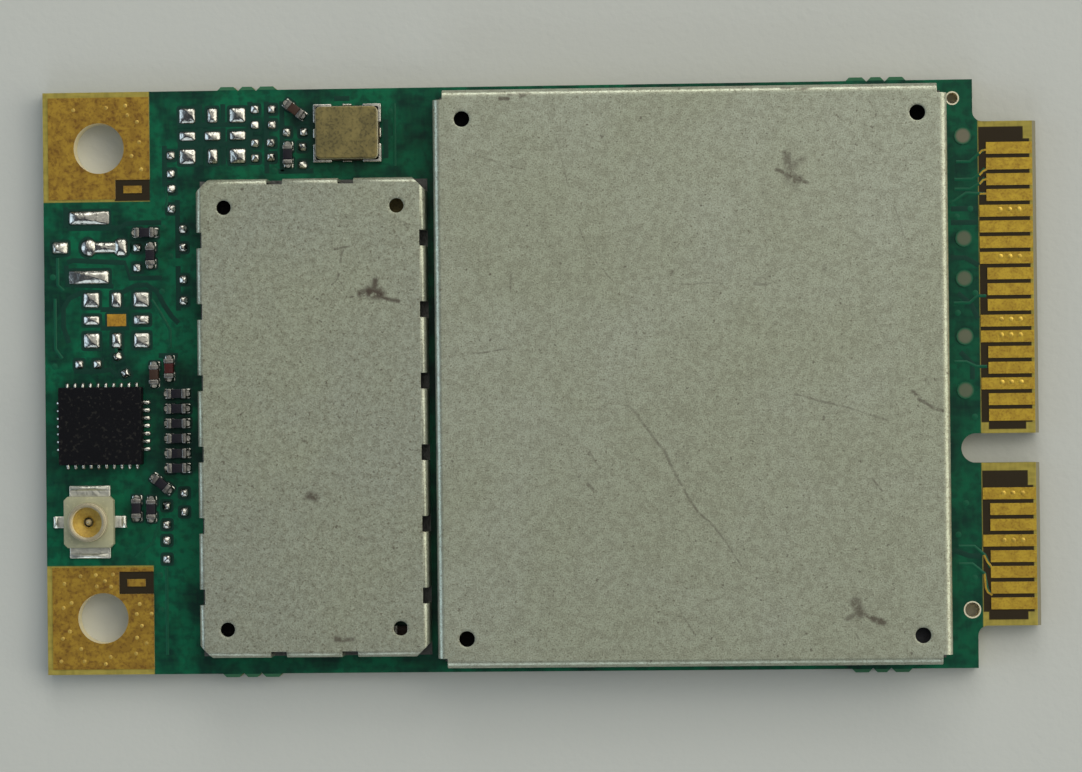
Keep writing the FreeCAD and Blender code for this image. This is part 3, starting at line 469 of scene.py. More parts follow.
@dataclass(frozen=True)
class Gold(Finish):
    """Gold plate with darker mottling and upright faces painted paler, a painted highlight."""

    dark: Colour = srgb(112, 80, 24)
    # Paler colour of upright faces: a painted highlight.
    wall: Colour = srgb(226, 214, 176)
    patch: float = 1.4
    fleck: float = 9.0
    mottle: float = 0.35

    def build(self, graph: Graph) -> bpy.types.Material:
        """Lays out mottled plate, with a painted highlight that makes it paler inside holes and along edges.

        Args:
            graph: Empty node tree.

        Returns:
            The finished material.
        """
        place = graph.place()
        cloud = graph.noise(place, self.patch, 4, 0.6)
        fleck = graph.noise(place, self.fleck, 2)
        wall = abs(graph.facing().part(2)).rise(0.6, 0.3)
        tarnish = (cloud.rise(0.36, 0.62) * self.mottle + fleck.rise(0.45, 0.7) * self.mottle).least(1.0)
        colour = graph.mix(tarnish, self.colour, self.dark)
        # Painted highlight: upright faces, such as hole walls and edges, turn pale.
        colour = graph.mix(wall, colour, self.wall)
        graph.bump(fleck, 0.006)
        return graph.finish(
            Base_Color=colour, Roughness=fleck * 0.25 + self.roughness - wall * 0.15, Metallic=self.metallic)


@dataclass(frozen=True)
class Mark:
    """A scratch or a stain on a shield, as a straight stroke."""

    start: Point
    end: Point
    width: float
    depth: float


@dataclass(frozen=True)
class ShieldSheet(Finish):
    """Tinned steel sheet, finely speckled, with scratches, dark stains and pale specks that are painted
    glints.
    """

    marks: tuple[Mark, ...] = ()
    speck: Colour = srgb(98, 92, 74)
    stain: Colour = srgb(70, 58, 48)
    warm: Colour = srgb(163, 168, 145)
    # Colour of the pale specks, which are painted glints.
    pale: Colour = srgb(200, 200, 176)

    def build(self, graph: Graph) -> bpy.types.Material:
        """Lays out the speckled sheet and its marks.

        Args:
            graph: Empty node tree.

        Returns:
            The finished material.
        """
        place = graph.place()
        cloud = graph.noise(place, 0.16, 4, 0.3)
        grain = graph.noise(place, 13, 2)
        dots = graph.noise(place, 6.5, 2)
        pale = graph.noise(place + (31.0, 7.0, 0.0), 11, 1)
        pits = graph.noise(place + (5.0, 19.0, 0.0), 3.6, 2)
        colour = graph.mix(cloud.rise(0.3, 0.7), self.colour, self.warm)
        colour = graph.mix(graph.noise(place, 3.4, 3, 0.4).rise(0.35, 0.68) * 0.3, colour, self.speck)
        colour = graph.mix(dots.rise(0.6, 0.74) * 0.6, colour, self.speck)
        colour = graph.mix(grain.rise(0.35, 0.75) * 0.5, colour, self.speck)
        # Painted glints: scattered pale specks.
        colour = graph.mix(pale.rise(0.6, 0.75) * 0.35, colour, self.pale)
        colour = graph.mix(pits.rise(0.68, 0.76) * 0.6, colour, self.stain)
        warp = graph.node("ShaderNodeTexNoise", {}, {"Vector": place, "Scale": 0.9, "Detail": 2.0})
        flat = place * (1.0, 1.0, 0.0) + (Value(graph, warp.outputs["Color"]) - (0.5, 0.5, 0.5)) * 0.25
        roughness = grain * 0.12 + (self.roughness - 0.06)
        if self.marks:
            lines = [graph.stroke(flat, mark.start, mark.end, mark.width) * mark.depth for mark in self.marks]
            worn = reduce(Value.most, lines) * graph.noise(place, 4.0, 3).rise(0.2, 0.55)
            colour = graph.mix(worn, colour, self.stain)
            roughness = roughness + worn * 0.15
        graph.bump(grain + dots * 0.6 + cloud * 3.0, 0.006)
        return graph.finish(Base_Color=colour, Roughness=roughness, Metallic=self.metallic)


@dataclass(frozen=True)
class Solder(Finish):
    """Bright solder with faint grain."""

    def build(self, graph: Graph) -> bpy.types.Material:
        """Lays out a bright metal with a slightly wrinkled surface.

        Args:
            graph: Empty node tree.

        Returns:
            The finished material.
        """
        place = graph.place()
        cloud = graph.noise(place, 3.2, 3, 0.8)
        grain = graph.noise(place, 16, 2)
        colour = graph.mix(cloud.rise(0.45, 0.7), self.colour, shade(self.colour, 0.7))
        graph.bump(cloud + grain * 0.1, 0.032)
        return graph.finish(
            Base_Color=colour, Roughness=grain * 0.15 + (self.roughness - 0.05), Metallic=self.metallic)


@dataclass(frozen=True)
class Mould(Finish):
    """Moulded epoxy or plastic with scattered pale grains."""

    grains: Colour = srgb(56, 50, 42)
    share: float = 0.3

    def build(self, graph: Graph) -> bpy.types.Material:
        """Lays out the moulded surface.

        Args:
            graph: Empty node tree.

        Returns:
            The finished material.
        """
        place = graph.place()
        cloud = graph.noise(place, 1.2, 2)
        grain = graph.noise(place, 8, 3)
        speck = graph.noise(place, 5.5, 1).rise(0.58, 0.72)
        colour = graph.mix(cloud, self.colour, shade(self.colour, 0.75))
        colour = graph.mix(speck * self.share, colour, self.grains)
        graph.bump(grain, 0.012)
        return graph.finish(
            Base_Color=colour, Roughness=grain * 0.2 + (self.roughness - 0.1), Specular_IOR_Level=self.shine)


@dataclass(frozen=True)
class TentedPad(Finish):
    """Round pads under the mask, whose edges fade into it."""

    pads: tuple[tuple[float, float, float], ...] = ()
    red: Colour = srgb(104, 99, 83)
    rim: Colour = srgb(6, 78, 52)

    def build(self, graph: Graph) -> bpy.types.Material:
        """Lays out copper that dims from the middle of each pad to its rim.

        Args:
            graph: Empty node tree.

        Returns:
            The finished material.
        """
        place = graph.place()
        flat = place * (1.0, 1.0, 0.0)
        colour = graph.mix(graph.noise(place, 0.22, 1).rise(0.4, 0.6), self.colour, self.red)
        fades = [
            (flat - (x, y, 0.0)).length().rise(radius * 0.6, radius * 1.05) for x, y, radius in self.pads]
        if fades:
            colour = graph.mix(reduce(Value.least, fades) + graph.noise(place, 7, 2) * 0.15, colour, self.rim)
        return graph.finish(Base_Color=colour, Roughness=self.roughness, Specular_IOR_Level=self.shine)


@dataclass(frozen=True)
class Paper(Finish):
    """Plain pale floor with a faint tooth."""

    def build(self, graph: Graph) -> bpy.types.Material:
        """Lays out plain paper.

        Args:
            graph: Empty node tree.

        Returns:
            The finished material.
        """
        place = graph.place()
        cloud = graph.noise(place, 0.02, 2)
        tooth = graph.noise(place, 2.5, 3)
        colour = graph.mix(cloud, shade(self.colour, 0.97), self.colour)
        graph.bump(tooth, 0.02)
        return graph.finish(Base_Color=colour, Roughness=0.9, Specular_IOR_Level=0.1)


def marks(*rows: tuple[float, ...]) -> tuple[Mark, ...]:
    """Marks from rows of both measured ends, the width and the depth."""
    return tuple(Mark(spot(*row[:2]), spot(*row[2:4]), row[4], row[5]) for row in rows)


LARGE_MARKS = marks(
    (23.75, 0.8, 24.2, 0.8, 0.15, 0.75), (24.2, 0.6, 25.2, 0.55, 0.13, 0.45),
    (24.8, 0.75, 25.1, 0.6, 0.12, 0.6), (38.0, 0.5, 39.4, 0.5, 0.12, 0.6),
    (38.25, 3.75, 38.35, 4.45, 0.34, 0.6), (38.5, 4.4, 39.0, 4.1, 0.3, 0.4),
    (37.75, 4.6, 38.5, 4.95, 0.16, 0.7), (38.3, 4.85, 38.8, 5.1, 0.42, 0.6),
    (38.6, 5.0, 39.25, 5.3, 0.16, 0.7), (38.2, 5.0, 38.6, 5.45, 0.36, 0.3),
    (22.2, 3.6, 25.0, 4.4, 0.06, 0.3), (26.6, 2.9, 27.3, 5.6, 0.06, 0.3),
    (27.7, 7.4, 28.3, 8.9, 0.06, 0.35), (28.3, 8.9, 29.3, 10.0, 0.06, 0.35),
    (43.6, 6.5, 44.3, 8.6, 0.06, 0.3), (30.1, 16.5, 30.9, 17.4, 0.11, 0.4),
    (30.9, 17.4, 31.9, 18.8, 0.11, 0.5), (31.9, 18.8, 32.9, 20.8, 0.11, 0.5),
    (32.9, 20.8, 33.6, 21.9, 0.1, 0.5), (33.6, 21.9, 34.4, 22.6, 0.1, 0.5),
    (34.4, 22.6, 35.7, 24.6, 0.09, 0.45), (38.55, 16.0, 41.3, 16.7, 0.09, 0.4),
    (41.3, 16.7, 43.25, 17.35, 0.09, 0.45), (22.3, 13.75, 23.85, 13.5, 0.08, 0.5),
    (32.4, 9.7, 32.4, 9.8, 0.16, 0.45), (40.1, 9.5, 40.1, 9.65, 0.2, 0.35),
    (32.8, 10.3, 34.9, 10.3, 0.07, 0.3), (36.6, 10.35, 37.2, 10.35, 0.12, 0.45),
    (24.2, 9.6, 24.2, 10.4, 0.1, 0.35), (28.0, 20.4, 28.3, 20.7, 0.14, 0.5),
    (28.1, 18.8, 28.7, 19.6, 0.08, 0.35), (40.0, 17.15, 40.0, 17.25, 0.12, 0.5),
    (44.45, 15.9, 44.85, 16.35, 0.17, 0.75), (44.85, 16.35, 45.95, 16.9, 0.14, 0.65),
    (45.15, 15.3, 45.25, 15.45, 0.15, 0.4), (41.45, 26.5, 41.7, 27.1, 0.42, 0.7),
    (41.6, 27.0, 41.1, 27.3, 0.2, 0.6), (41.7, 27.05, 42.5, 27.45, 0.18, 0.75),
    (42.4, 27.4, 42.85, 27.55, 0.28, 0.8), (40.8, 26.4, 41.0, 26.9, 0.07, 0.35),
    (41.5, 28.0, 41.6, 28.3, 0.08, 0.4), (32.5, 26.7, 33.4, 28.1, 0.07, 0.4),
    (42.4, 20.3, 42.9, 20.9, 0.09, 0.5),
)
SMALL_MARKS = marks(
    (16.55, 10.55, 17.2, 10.6, 0.3, 0.85), (17.3, 9.95, 17.2, 10.5, 0.26, 0.85),
    (17.0, 10.55, 17.45, 10.62, 0.5, 0.95), (17.5, 10.75, 18.45, 11.0, 0.17, 0.8),
    (15.7, 8.4, 15.5, 9.0, 0.09, 0.5), (16.0, 8.2, 15.3, 8.35, 0.1, 0.65),
    (15.4, 9.6, 15.1, 10.1, 0.1, 0.65), (13.85, 20.85, 14.1, 20.95, 0.36, 0.8),
    (13.5, 21.05, 13.85, 20.95, 0.11, 0.5), (15.1, 28.15, 15.9, 28.15, 0.22, 0.7),
)


class Finishes:
    """The finishes of the card, by what they cover."""

    board = SolderMask("board_mask", srgb(4, 90, 60))
    trace = Finish("masked_trace", srgb(5, 75, 51), 0.45)
    gap = Finish("masked_gap", srgb(4, 50, 38), 0.5)
    clearance = Finish("pad_clearance", srgb(7, 50, 39), 0.5)
    contact = Gold(
        "contact_gold", srgb(180, 150, 46), 0.36, 0.6, dark=srgb(138, 106, 30), patch=2.2, mottle=0.45)
    dot = Gold("contact_dimple", srgb(208, 176, 70), 0.3, 0.6)
    via = Gold("land_dimple", srgb(208, 176, 86), 0.34, 0.6)
    # The ground-hole plating is painted paler than plating is: painted light for the bright holes.
    plated = Gold("plated_ring", srgb(222, 216, 190), 0.3, 0.5, dark=srgb(190, 180, 150))
    land = Gold(
        "land_gold", srgb(162, 128, 40), 0.42, 0.55, dark=srgb(110, 75, 20), patch=1.8, fleck=7.0, mottle=0.5)
    plain_gold = Gold("flat_gold", srgb(198, 148, 48), 0.36, 0.6)
    large_sheet = ShieldSheet("large_cover_sheet", srgb(169, 174, 154), 0.3, 0.5, marks=LARGE_MARKS)
    small_sheet = ShieldSheet("small_can_sheet", srgb(161, 166, 148), 0.3, 0.5, marks=SMALL_MARKS)
    # Painted shade: the tinned frame is given a near-black colour for the shadow it sits in under the cover.
    frame_sheet = ShieldSheet("frame_sheet", srgb(34, 33, 30), 0.5, 0.4)
    solder = Solder("bright_solder", (0.4, 0.39, 0.34), 0.18, 1.0)
    bead_tin = Solder("bead_tin", (0.66, 0.65, 0.55), 0.28, 0.85)
    bright_tin = Solder("bright_tin", (0.6, 0.59, 0.5), 0.3, 0.85)
    cap_tin = Solder("cap_tin", (0.22, 0.21, 0.185), 0.28, 0.85)
    # Painted shade: the ground tracks under the shield walls are given a near-black colour instead of tin.
    track_painted_shade = Solder("track_painted_shade", (0.1, 0.1, 0.09), 0.4, 0.6)
    socket_gold = Gold("socket_gold", srgb(152, 144, 120), 0.38, 0.35, dark=srgb(134, 122, 92), patch=2.4)
    socket_cup = Gold("socket_cup", srgb(170, 142, 58), 0.4, 0.4, dark=srgb(132, 102, 38), patch=2.4)
    plastic = Mould("socket_plastic", srgb(160, 158, 128), 0.45, grains=srgb(190, 184, 146), share=0.3)
    chip = Mould("chip_mould", srgb(11, 11, 14), 0.6, grains=srgb(52, 50, 44), share=0.4, shine=0.1)
    ceramic_brown = Mould("part_brown", srgb(62, 44, 34), 0.4, share=0.2)
    ceramic_dark = Mould("part_dark", srgb(30, 28, 34), 0.4, share=0.2)
    ceramic_red = Mould("part_red", srgb(72, 28, 26), 0.4, share=0.2)
    base_ceramic = Mould("oscillator_ceramic", srgb(60, 54, 42), 0.5, share=0.2)
    lid = Gold(
        "oscillator_lid", srgb(124, 111, 64), 0.5, 0.4, dark=srgb(82, 74, 42), patch=1.1, fleck=7.0,
        mottle=0.55)
    masked_copper = TentedPad("masked_copper", srgb(84, 90, 72), 0.5)
    ferrite = Mould("inductor_ferrite", srgb(70, 70, 74), 0.6)
    floor = Paper("floor_paper", srgb(180, 181, 174), 0.9)


# --------------------------------------------------------------------- shapes

class Side(Enum):
    """Face of the board that carries relief, as the level of its surface and the way out."""

    TOP = (BOARD_TOP, 1)
    BOTTOM = (BOARD_BOTTOM, -1)


def rounded(length: float, width: float, radius: float, steps: int = 3) -> list[Point]:
    """Outline of a rectangle with round corners about zero.

    Args:
        length: Size along X.
        width: Size along Y.
        radius: Corner radius.
        steps: Segments of each corner.

    Returns:
        Points in order, counter-clockwise.
    """
    radius = max(min(radius, length / 2, width / 2), 0.0)
    points = []
    for turn, (sx, sy) in enumerate(((1, 1), (-1, 1), (-1, -1), (1, -1))):
        for step in range(steps + 1):
            angle = math.pi / 2 * (turn + step / steps)
            points.append((
                sx * (length / 2 - radius) + radius * math.cos(angle),
                sy * (width / 2 - radius) + radius * math.sin(angle)))
    return points


def circle(radius: float, count: int = 24) -> list[Point]:
    """Points of a circle about zero, counter-clockwise."""
    angles = [2 * math.pi * i / count for i in range(count)]
    return [(radius * math.cos(a), radius * math.sin(a)) for a in angles]


@dataclass(frozen=True)
class Pad:
    """Upright box that a solid of a node fills."""

    x: float
    y: float
    angle: float
    length: float
    width: float
    bottom: float
    top: float

    def ring(self, points: Iterable[Point], height: float, scale: float = 1.0) -> list[Vector]:
        """Turns and moves an outline to this place.

        Args:
            points: Outline about zero.
            height: Level of the ring.
            scale: Factor on the outline.

        Returns:
            Corners in the row frame.
        """
        c, s = math.cos(self.angle) * scale, math.sin(self.angle) * scale
        return [Vector((self.x + c * px - s * py, self.y + s * px + c * py, height)) for px, py in points]


def seat(along: float, across: float, level: float) -> Pad:
    """Place at one level, by its distances from the screw end and the upper edge."""
    return Pad(*spot(along, across), 0, 1, 1, level, level)


def solids_of(node: str) -> list[Pad]:
    """Boxes of a node's separate solids.

    Args:
        node: Name of a node of box-shaped solids.

    Returns:
        One upright box for each solid, sorted by place.
    """
    bm = bmesh.new()
    bm.from_mesh(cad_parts[node].data)
    bmesh.ops.remove_doubles(bm, verts=bm.verts, dist=1e-7)
    bm.verts.index_update()
    left = set(bm.verts)
    found = []
    while left:
        group, queue = set(), [left.pop()]
        while queue:
            vert = queue.pop()
            group.add(vert)
            near = {edge.other_vert(vert) for edge in vert.link_edges} & left
            left -= near
            queue += near
        found.append(box_about(sorted(group, key=lambda vert: vert.index)))
    bm.free()
    return sorted(found, key=lambda pad: (round(pad.x, 2), round(pad.y, 2)))


def box_about(group: Sequence[bmesh.types.BMVert]) -> Pad:
    """Upright box about the corners of one solid.

    Args:
        group: Corners of the solid.

    Returns:
        The box, turned with the solid's longest sharp edge.
    """
    best = Vector((1, 0, 0))
    longest = 0.0
    for vert in group:
        for edge in vert.link_edges:
            run = edge.verts[1].co - edge.verts[0].co
            if len(edge.link_faces) == 2 and edge.calc_face_angle() > 0.3 and abs(run.z) < 1e-7:
                if run.length > longest + 1e-7:
                    longest, best = run.length, run.normalized()
    if best.x < -1e-6 or (abs(best.x) < 1e-6 and best.y < 0):
        best = -best
    across = Vector((-best.y, best.x, 0))
    points = [vert.co / METRES for vert in group]
    spans = []
    for axis in (best, across, Vector((0, 0, 1))):
        reach = [point.dot(axis) for point in points]
        spans.append((min(reach), max(reach)))
    middle = best * (sum(spans[0]) / 2) + across * (sum(spans[1]) / 2)
    length, width = (high - low for low, high in spans[:2])
    return Pad(middle.x, middle.y, math.atan2(best.y, best.x), length, width, *spans[2])


class Shape:
    """A mesh being built, in millimetres."""

    def __init__(self) -> None:
        """Starts an empty mesh."""
        self.bm = bmesh.new()

    def skin(self, rings: Sequence[Sequence[Vector]], tone: int = 0, top: bool = True) -> None:
        """Joins rings of equal count into a skin.

        Args:
            rings: Rings from the bottom up, counter-clockwise from above.
            tone: Number of the finish.
            top: Whether the last ring is closed by a face.
        """
        rows = [[self.bm.verts.new(point) for point in ring] for ring in rings]
        count = len(rows[0])
        faces = []
        for lower, upper in zip(rows, rows[1:]):
            for i in range(count):
                j = (i + 1) % count
                faces.append(self.bm.faces.new((lower[i], lower[j], upper[j], upper[i])))
        faces.append(self.bm.faces.new(rows[0][::-1]))
        if top:
            faces.append(self.bm.faces.new(rows[-1]))
        for face in faces:
            face.material_index = tone

    def block(
            self, pad: Pad, corner: float, edge: float, tone: int = 0, shrink: float = 0.0,
            steps: int = 3) -> None:
        """Block with round corners and a round top edge.

        Args:
            pad: Box to fill.
            corner: Radius of the upright edges.
            edge: Radius of the top edges.
            tone: Number of the finish.
            shrink: How much narrower each side is at the top.
            steps: Segments of each round.
        """
        rings = [pad.ring(rounded(pad.length, pad.width, corner, steps), pad.bottom)]
        for step in range(steps + 1):
            angle = math.pi / 2 * step / steps
            inset = edge * (1 - math.cos(angle)) + shrink
            outline = rounded(pad.length - 2 * inset, pad.width - 2 * inset, max(corner - inset, 0.01), steps)
            rings.append(pad.ring(outline, pad.top - edge + edge * math.sin(angle)))
        self.skin(rings, tone)

    def dome(
            self, pad: Pad, outline: Sequence[Point], height: float, tone: int = 0, steps: int = 5,
            lean: Point = (0.0, 0.0)) -> None:
        """Drop of solder on an outline.

        Args:
            pad: Place and seat of the drop.
            outline: Outline of the land about zero.
            height: Height of the drop above its seat.
            tone: Number of the finish.
            steps: Rings of the dome.
            lean: Shift of the crown from the middle.
        """
        foot = 0.12
        rings = [pad.ring(outline, pad.bottom), pad.ring(outline, pad.bottom + height * foot)]
        for step in range(1, steps + 1):
            share = 1 - step / (steps + 0.35)
            rise = 1 - share ** 2
            shifted = [(px * share + lean[0] * rise, py * share + lean[1] * rise) for px, py in outline]
            rings.append(pad.ring(shifted, pad.bottom + height * (foot + (1 - foot) * rise)))
        self.skin(rings, tone)

    def fillet(
            self, pad: Pad, outer: Point, inner: Point, height: float, tone: int = 0, steps: int = 5) -> None:
        """Hollow skirt of solder that climbs a part's end.

        Args:
            pad: Place and seat of the skirt.
            outer: Length and width at the foot.
            inner: Length and width where it meets the part.
            height: How far it climbs.
            tone: Number of the finish.
            steps: Rings of the skirt.
        """
        rings = []
        for step in range(steps + 1):
            share = step / steps
            length = outer[0] + (inner[0] - outer[0]) * share
            width = outer[1] + (inner[1] - outer[1]) * share
            climb = height * (1 - math.sqrt(max(1 - share ** 2, 0.0)))
            rings.append(pad.ring(rounded(length, width, 0.1), pad.bottom + 0.02 + climb))
        rings.insert(0, pad.ring(rounded(outer[0], outer[1], 0.1), pad.bottom))
        self.skin(rings, tone)

    def turned(self, pad: Pad, profile: Sequence[Point], tone: int = 0, count: int = 40) -> None:
        """Closed ring turned about an upright line.

        Args:
            pad: Place of the line; heights count from its bottom.
            profile: Closed outline of radius and height, counter-clockwise.
            tone: Number of the finish.
            count: Segments round.
        """
        rows = [[self.bm.verts.new(point) for point in pad.ring(circle(radius, count), pad.bottom + height)]
                for radius, height in profile]
        rows.append(rows[0])
        for lower, upper in zip(rows, rows[1:]):
            for i in range(count):
                j = (i + 1) % count
                self.bm.faces.new((lower[i], lower[j], upper[j], upper[i])).material_index = tone

    def ribbon(
            self, points: Sequence[Point], width: float, bottom: float, height: float, tone: int = 0) -> None:
        """Raised track along a line, sloped at its sides.

        Args:
            points: Line in the row frame.
            width: Width of the track.
            bottom: Level of its foot.
            height: How proud it stands.
            tone: Number of the finish.
        """
        rows = []
        for i, point in enumerate(points):
            before = Vector(points[max(i - 1, 0)])
            after = Vector(points[min(i + 1, len(points) - 1)])
            way = (after - before).normalized()
            out = Vector((-way.y, way.x))
            row = []
            for side, rise in ((-1, 0.0), (-0.7, 1.0), (0.7, 1.0), (1, 0.0)):
                corner = Vector(point) + out * side * width / 2
                row.append(self.bm.verts.new((corner.x, corner.y, bottom + rise * height)))
            rows.append(row)
        pairs = list(zip(rows, rows[1:]))
        faces = [self.bm.faces.new((a[k], a[k + 1], b[k + 1], b[k])) for a, b in pairs for k in range(3)]
        faces += [self.bm.faces.new((b[0], b[3], a[3], a[0])) for a, b in pairs]
        faces += [self.bm.faces.new(rows[0]), self.bm.faces.new(rows[-1][::-1])]
        for face in faces:
            face.material_index = tone

    def piece(
            self, name: str, finishes: Sequence[Finish], slot: str, nodes: Sequence[str] = (),
            smooth: float = 40.0) -> bpy.types.Object:
        """Turns the mesh into a named piece of the card.

        Args:
            name: Name of the piece.
            finishes: Finishes by number.
            slot: Material slot of the record; not used.
            nodes: Nodes that the piece stands for.
            smooth: Sharpest angle, in degrees, that is shaded round.

        Returns:
            The piece, riding on the card.
        """
        bmesh.ops.recalc_face_normals(self.bm, faces=self.bm.faces)
        return place_piece(new_object(name, self.bm, finishes), nodes, smooth)


def new_object(name: str, bm: bmesh.types.BMesh, finishes: Sequence[Finish]) -> bpy.types.Object:
    """Makes an object of the scene from a mesh in millimetres.

    Args:
        name: Name of the object.
        bm: Mesh, which is used up.
        finishes: Finishes by number.

    Returns:
        The object, in metres.
    """
    bmesh.ops.scale(bm, vec=(METRES,) * 3, verts=bm.verts)
    mesh = bpy.data.meshes.new(name)
    bm.to_mesh(mesh)
    bm.free()
    for finish in finishes:
        mesh.materials.append(finish.material())
    made = bpy.data.objects.new(name, mesh)
    bpy.context.scene.collection.objects.link(made)
    return made


def apply_modifiers(piece: bpy.types.Object) -> None:
    """Turns what an object's modifiers show into its own mesh.

    Args:
        piece: Object, which is left without modifiers.
    """
    graph = bpy.context.evaluated_depsgraph_get()
    piece.data = bpy.data.meshes.new_from_object(piece.evaluated_get(graph))
    piece.modifiers.clear()


def place_piece(piece: bpy.types.Object, nodes: Sequence[str], smooth: float) -> bpy.types.Object:
    """Shades a piece and hangs it on the card.

    Args:
        piece: Object in the row frame.
        nodes: Nodes that the piece stands for.
        smooth: Sharpest angle, in degrees, that is shaded round.

    Returns:
        The same piece.
    """
    for face in piece.data.polygons:
        face.use_smooth = True
    piece.data.set_sharp_from_angle(angle=math.radians(smooth))
    weigh = piece.modifiers.new("weigh", "WEIGHTED_NORMAL")
    weigh.keep_sharp = True
    weigh.weight = 100
    apply_modifiers(piece)
    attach(piece, BODY)
    if nodes:
        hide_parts(*nodes)
    log.info("%s: %d faces", piece.name, len(piece.data.polygons))
    return piece


def dress(finish: Finish, *nodes: str) -> None:
    """Gives a finish to solids that stay as they are.

    Args:
        finish: Finish to give.
        *nodes: Names of the nodes.
    """
    for name in nodes:
        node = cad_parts[name]
        if not node.material_slots:
            node.data.materials.append(finish.material())
        for slot in node.material_slots:
            slot.material = finish.material()
        log.info("%s: %s", name, finish.name)


# -------------------------------------------------------------------- shields

@dataclass
class FoldedShield:
    """A shield folded from one sheet: a flat top, round folds and wall tabs."""

    name: str
    node: str
    finish: Finish
    sheet: float
    fold: float
    corner: float
    tapered: bool
    vent_inset: float
    vent_diameter: float
    slot_width: float = 0.0
    slot_pitch: float = 0.0
    window_length: float = 0.0
    window_height: float = 0.0
    window_middle: float = 0.0
    window_shares: tuple[float, float] = (0.25, 0.75)
    fold_steps: int = 6
    vent_steps: int = 28
    collar: float = 0.15
    edge_round: float = 0.025
    smooth: float = 32
    low: Vector = field(init=False)
    high: Vector = field(init=False)

    def __post_init__(self) -> None:
        """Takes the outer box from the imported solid."""
        low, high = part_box(self.node)
        self.low, self.high = low / METRES, high / METRES

    def tabs(self, run: float) -> list[tuple[float, float]]:
        """Wall tabs along one side.

        Args:
            run: Length of the side.

        Returns:
            Start and end of each tab from the side's first corner.
        """
        if not self.slot_width:
            return [(self.corner, run - self.corner)]
        count = max(1, int((run - 2 * self.corner) / self.slot_pitch))
        slots = [run / 2 + (i - (count - 1) / 2) * self.slot_pitch for i in range(count)]
        edges = [self.corner]
        for middle in slots:
            edges += [middle - self.slot_width / 2, middle + self.slot_width / 2]
        edges.append(run - self.corner)
        return list(zip(edges[::2], edges[1::2]))

    def profile(self) -> list[Point]:
        """Section of a fold and its wall.

        Returns:
            Outward places and heights, from the top down.
        """
        rows = []
        for step in range(self.fold_steps + 1):
            angle = math.pi / 2 * step / self.fold_steps
            rows.append((
                self.fold * (math.sin(angle) - 1), self.high.z + self.fold * (math.cos(angle) - 1)))
        if self.window_height:
            rows += [(0.0, self.window_middle + self.window_height * part) for part in (0.5, -0.5)]
        rows.append((0.0, self.low.z))
        return rows

    def side(
            self, shape: Shape, origin: Vector, along: Vector, outward: Vector,
            run: float) -> list[bmesh.types.BMVert]:
        """Builds the tabs of one side.

        Args:
            shape: Mesh to build in.
            origin: First corner of the side.
            along: Direction of the side.
            outward: Direction out of the side.
            run: Length of the side.

        Returns:
            Corners of the flat top along this side, in order.
        """
        rim = []
        rows = self.profile()
        for start, end in self.tabs(run):
            stations = [start, end]
            if self.window_length:
                for share in self.window_shares:
                    stations += [run * share - self.window_length / 2, run * share + self.window_length / 2]
            stations.sort()
            grid = []
            for station in stations:
                column = []
                for out, height in rows:
                    shift = 0.0
                    if self.tapered and abs(station - self.corner) < 1e-6:
                        shift = out
                    elif self.tapered and abs(station - run + self.corner) < 1e-6:
                        shift = -out
                    point = origin + along * (station + shift) + outward * out
                    column.append(shape.bm.verts.new((point.x, point.y, height)))
                grid.append(column)
            hole_row = self.fold_steps + 1
            for i in range(len(grid) - 1):
                window = self.window_length and i % 2 == 1
                for k in range(len(rows) - 1):
                    if not (window and k == hole_row):
                        shape.bm.faces.new((grid[i][k], grid[i][k + 1], grid[i + 1][k + 1], grid[i + 1][k]))
            rim += [column[0] for column in grid]
        if not self.tapered:
            point = origin + along * (run - self.corner) - outward * self.corner
            rim.append(shape.bm.verts.new((point.x, point.y, self.high.z)))
        return rim

    def build(self, slot: str) -> bpy.types.Object:
        """Builds the shield and thickens it to its sheet.

        Args:
            slot: Material slot of the record; not used.

        Returns:
            The finished piece.
        """
        shape = Shape()
        x0, y0, x1, y1 = self.low.x, self.low.y, self.high.x, self.high.y
        rim = []
        for place, way, run in (
                ((x0, y0), (1, 0), x1 - x0), ((x1, y0), (0, 1), y1 - y0),
                ((x1, y1), (-1, 0), x1 - x0), ((x0, y1), (0, -1), y1 - y0)):
            rim += self.side(shape, Vector(place), Vector(way), Vector((way[1], -way[0])), run)
        edges = self.loop(shape, rim)
        inset = self.vent_inset
        for x in (x0 + inset, x1 - inset):
            for y in (y0 + inset, y1 - inset):
                edges += self.vent(shape, x, y)
        bmesh.ops.triangle_fill(shape.bm, use_beauty=True, use_dissolve=False, edges=edges)
        bmesh.ops.recalc_face_normals(shape.bm, faces=shape.bm.faces)
        if sum(face.normal.z * face.calc_area() for face in shape.bm.faces) < 0:
            bmesh.ops.reverse_faces(shape.bm, faces=shape.bm.faces)
        piece = new_object(self.name, shape.bm, [self.finish])
        thicken(piece, self.sheet, self.edge_round)
        return place_piece(piece, [self.node], self.smooth)

    def vent(self, shape: Shape, x: float, y: float) -> list[bmesh.types.BMEdge]:
        """Round vent with a collar of even faces.

        Args:
            shape: Mesh to build in.
            x: Place along X.
            y: Place along Y.

        Returns:
            The collar's outer edges.
        """
        radius = self.vent_diameter / 2
        inner, outer = (
            [shape.bm.verts.new((x + px, y + py, self.high.z)) for px, py in circle(reach, self.vent_steps)]
            for reach in (radius, radius + self.collar))
        for i in range(self.vent_steps):
            j = (i + 1) % self.vent_steps
            shape.bm.faces.new((inner[i], outer[i], outer[j], inner[j]))
        return self.loop(shape, outer)

    @staticmethod
    def loop(shape: Shape, verts: Sequence[bmesh.types.BMVert]) -> list[bmesh.types.BMEdge]:
        """Edges of a closed loop of corners.

        Args:
            shape: Mesh that the corners are in.
            verts: Corners in order.

        Returns:
            The loop's edges, new ones where none were.
        """
        edges = []
        for a, b in zip(verts, list(verts[1:]) + [verts[0]]):
            edges.append(shape.bm.edges.get((a, b)) or shape.bm.edges.new((a, b)))
        return edges


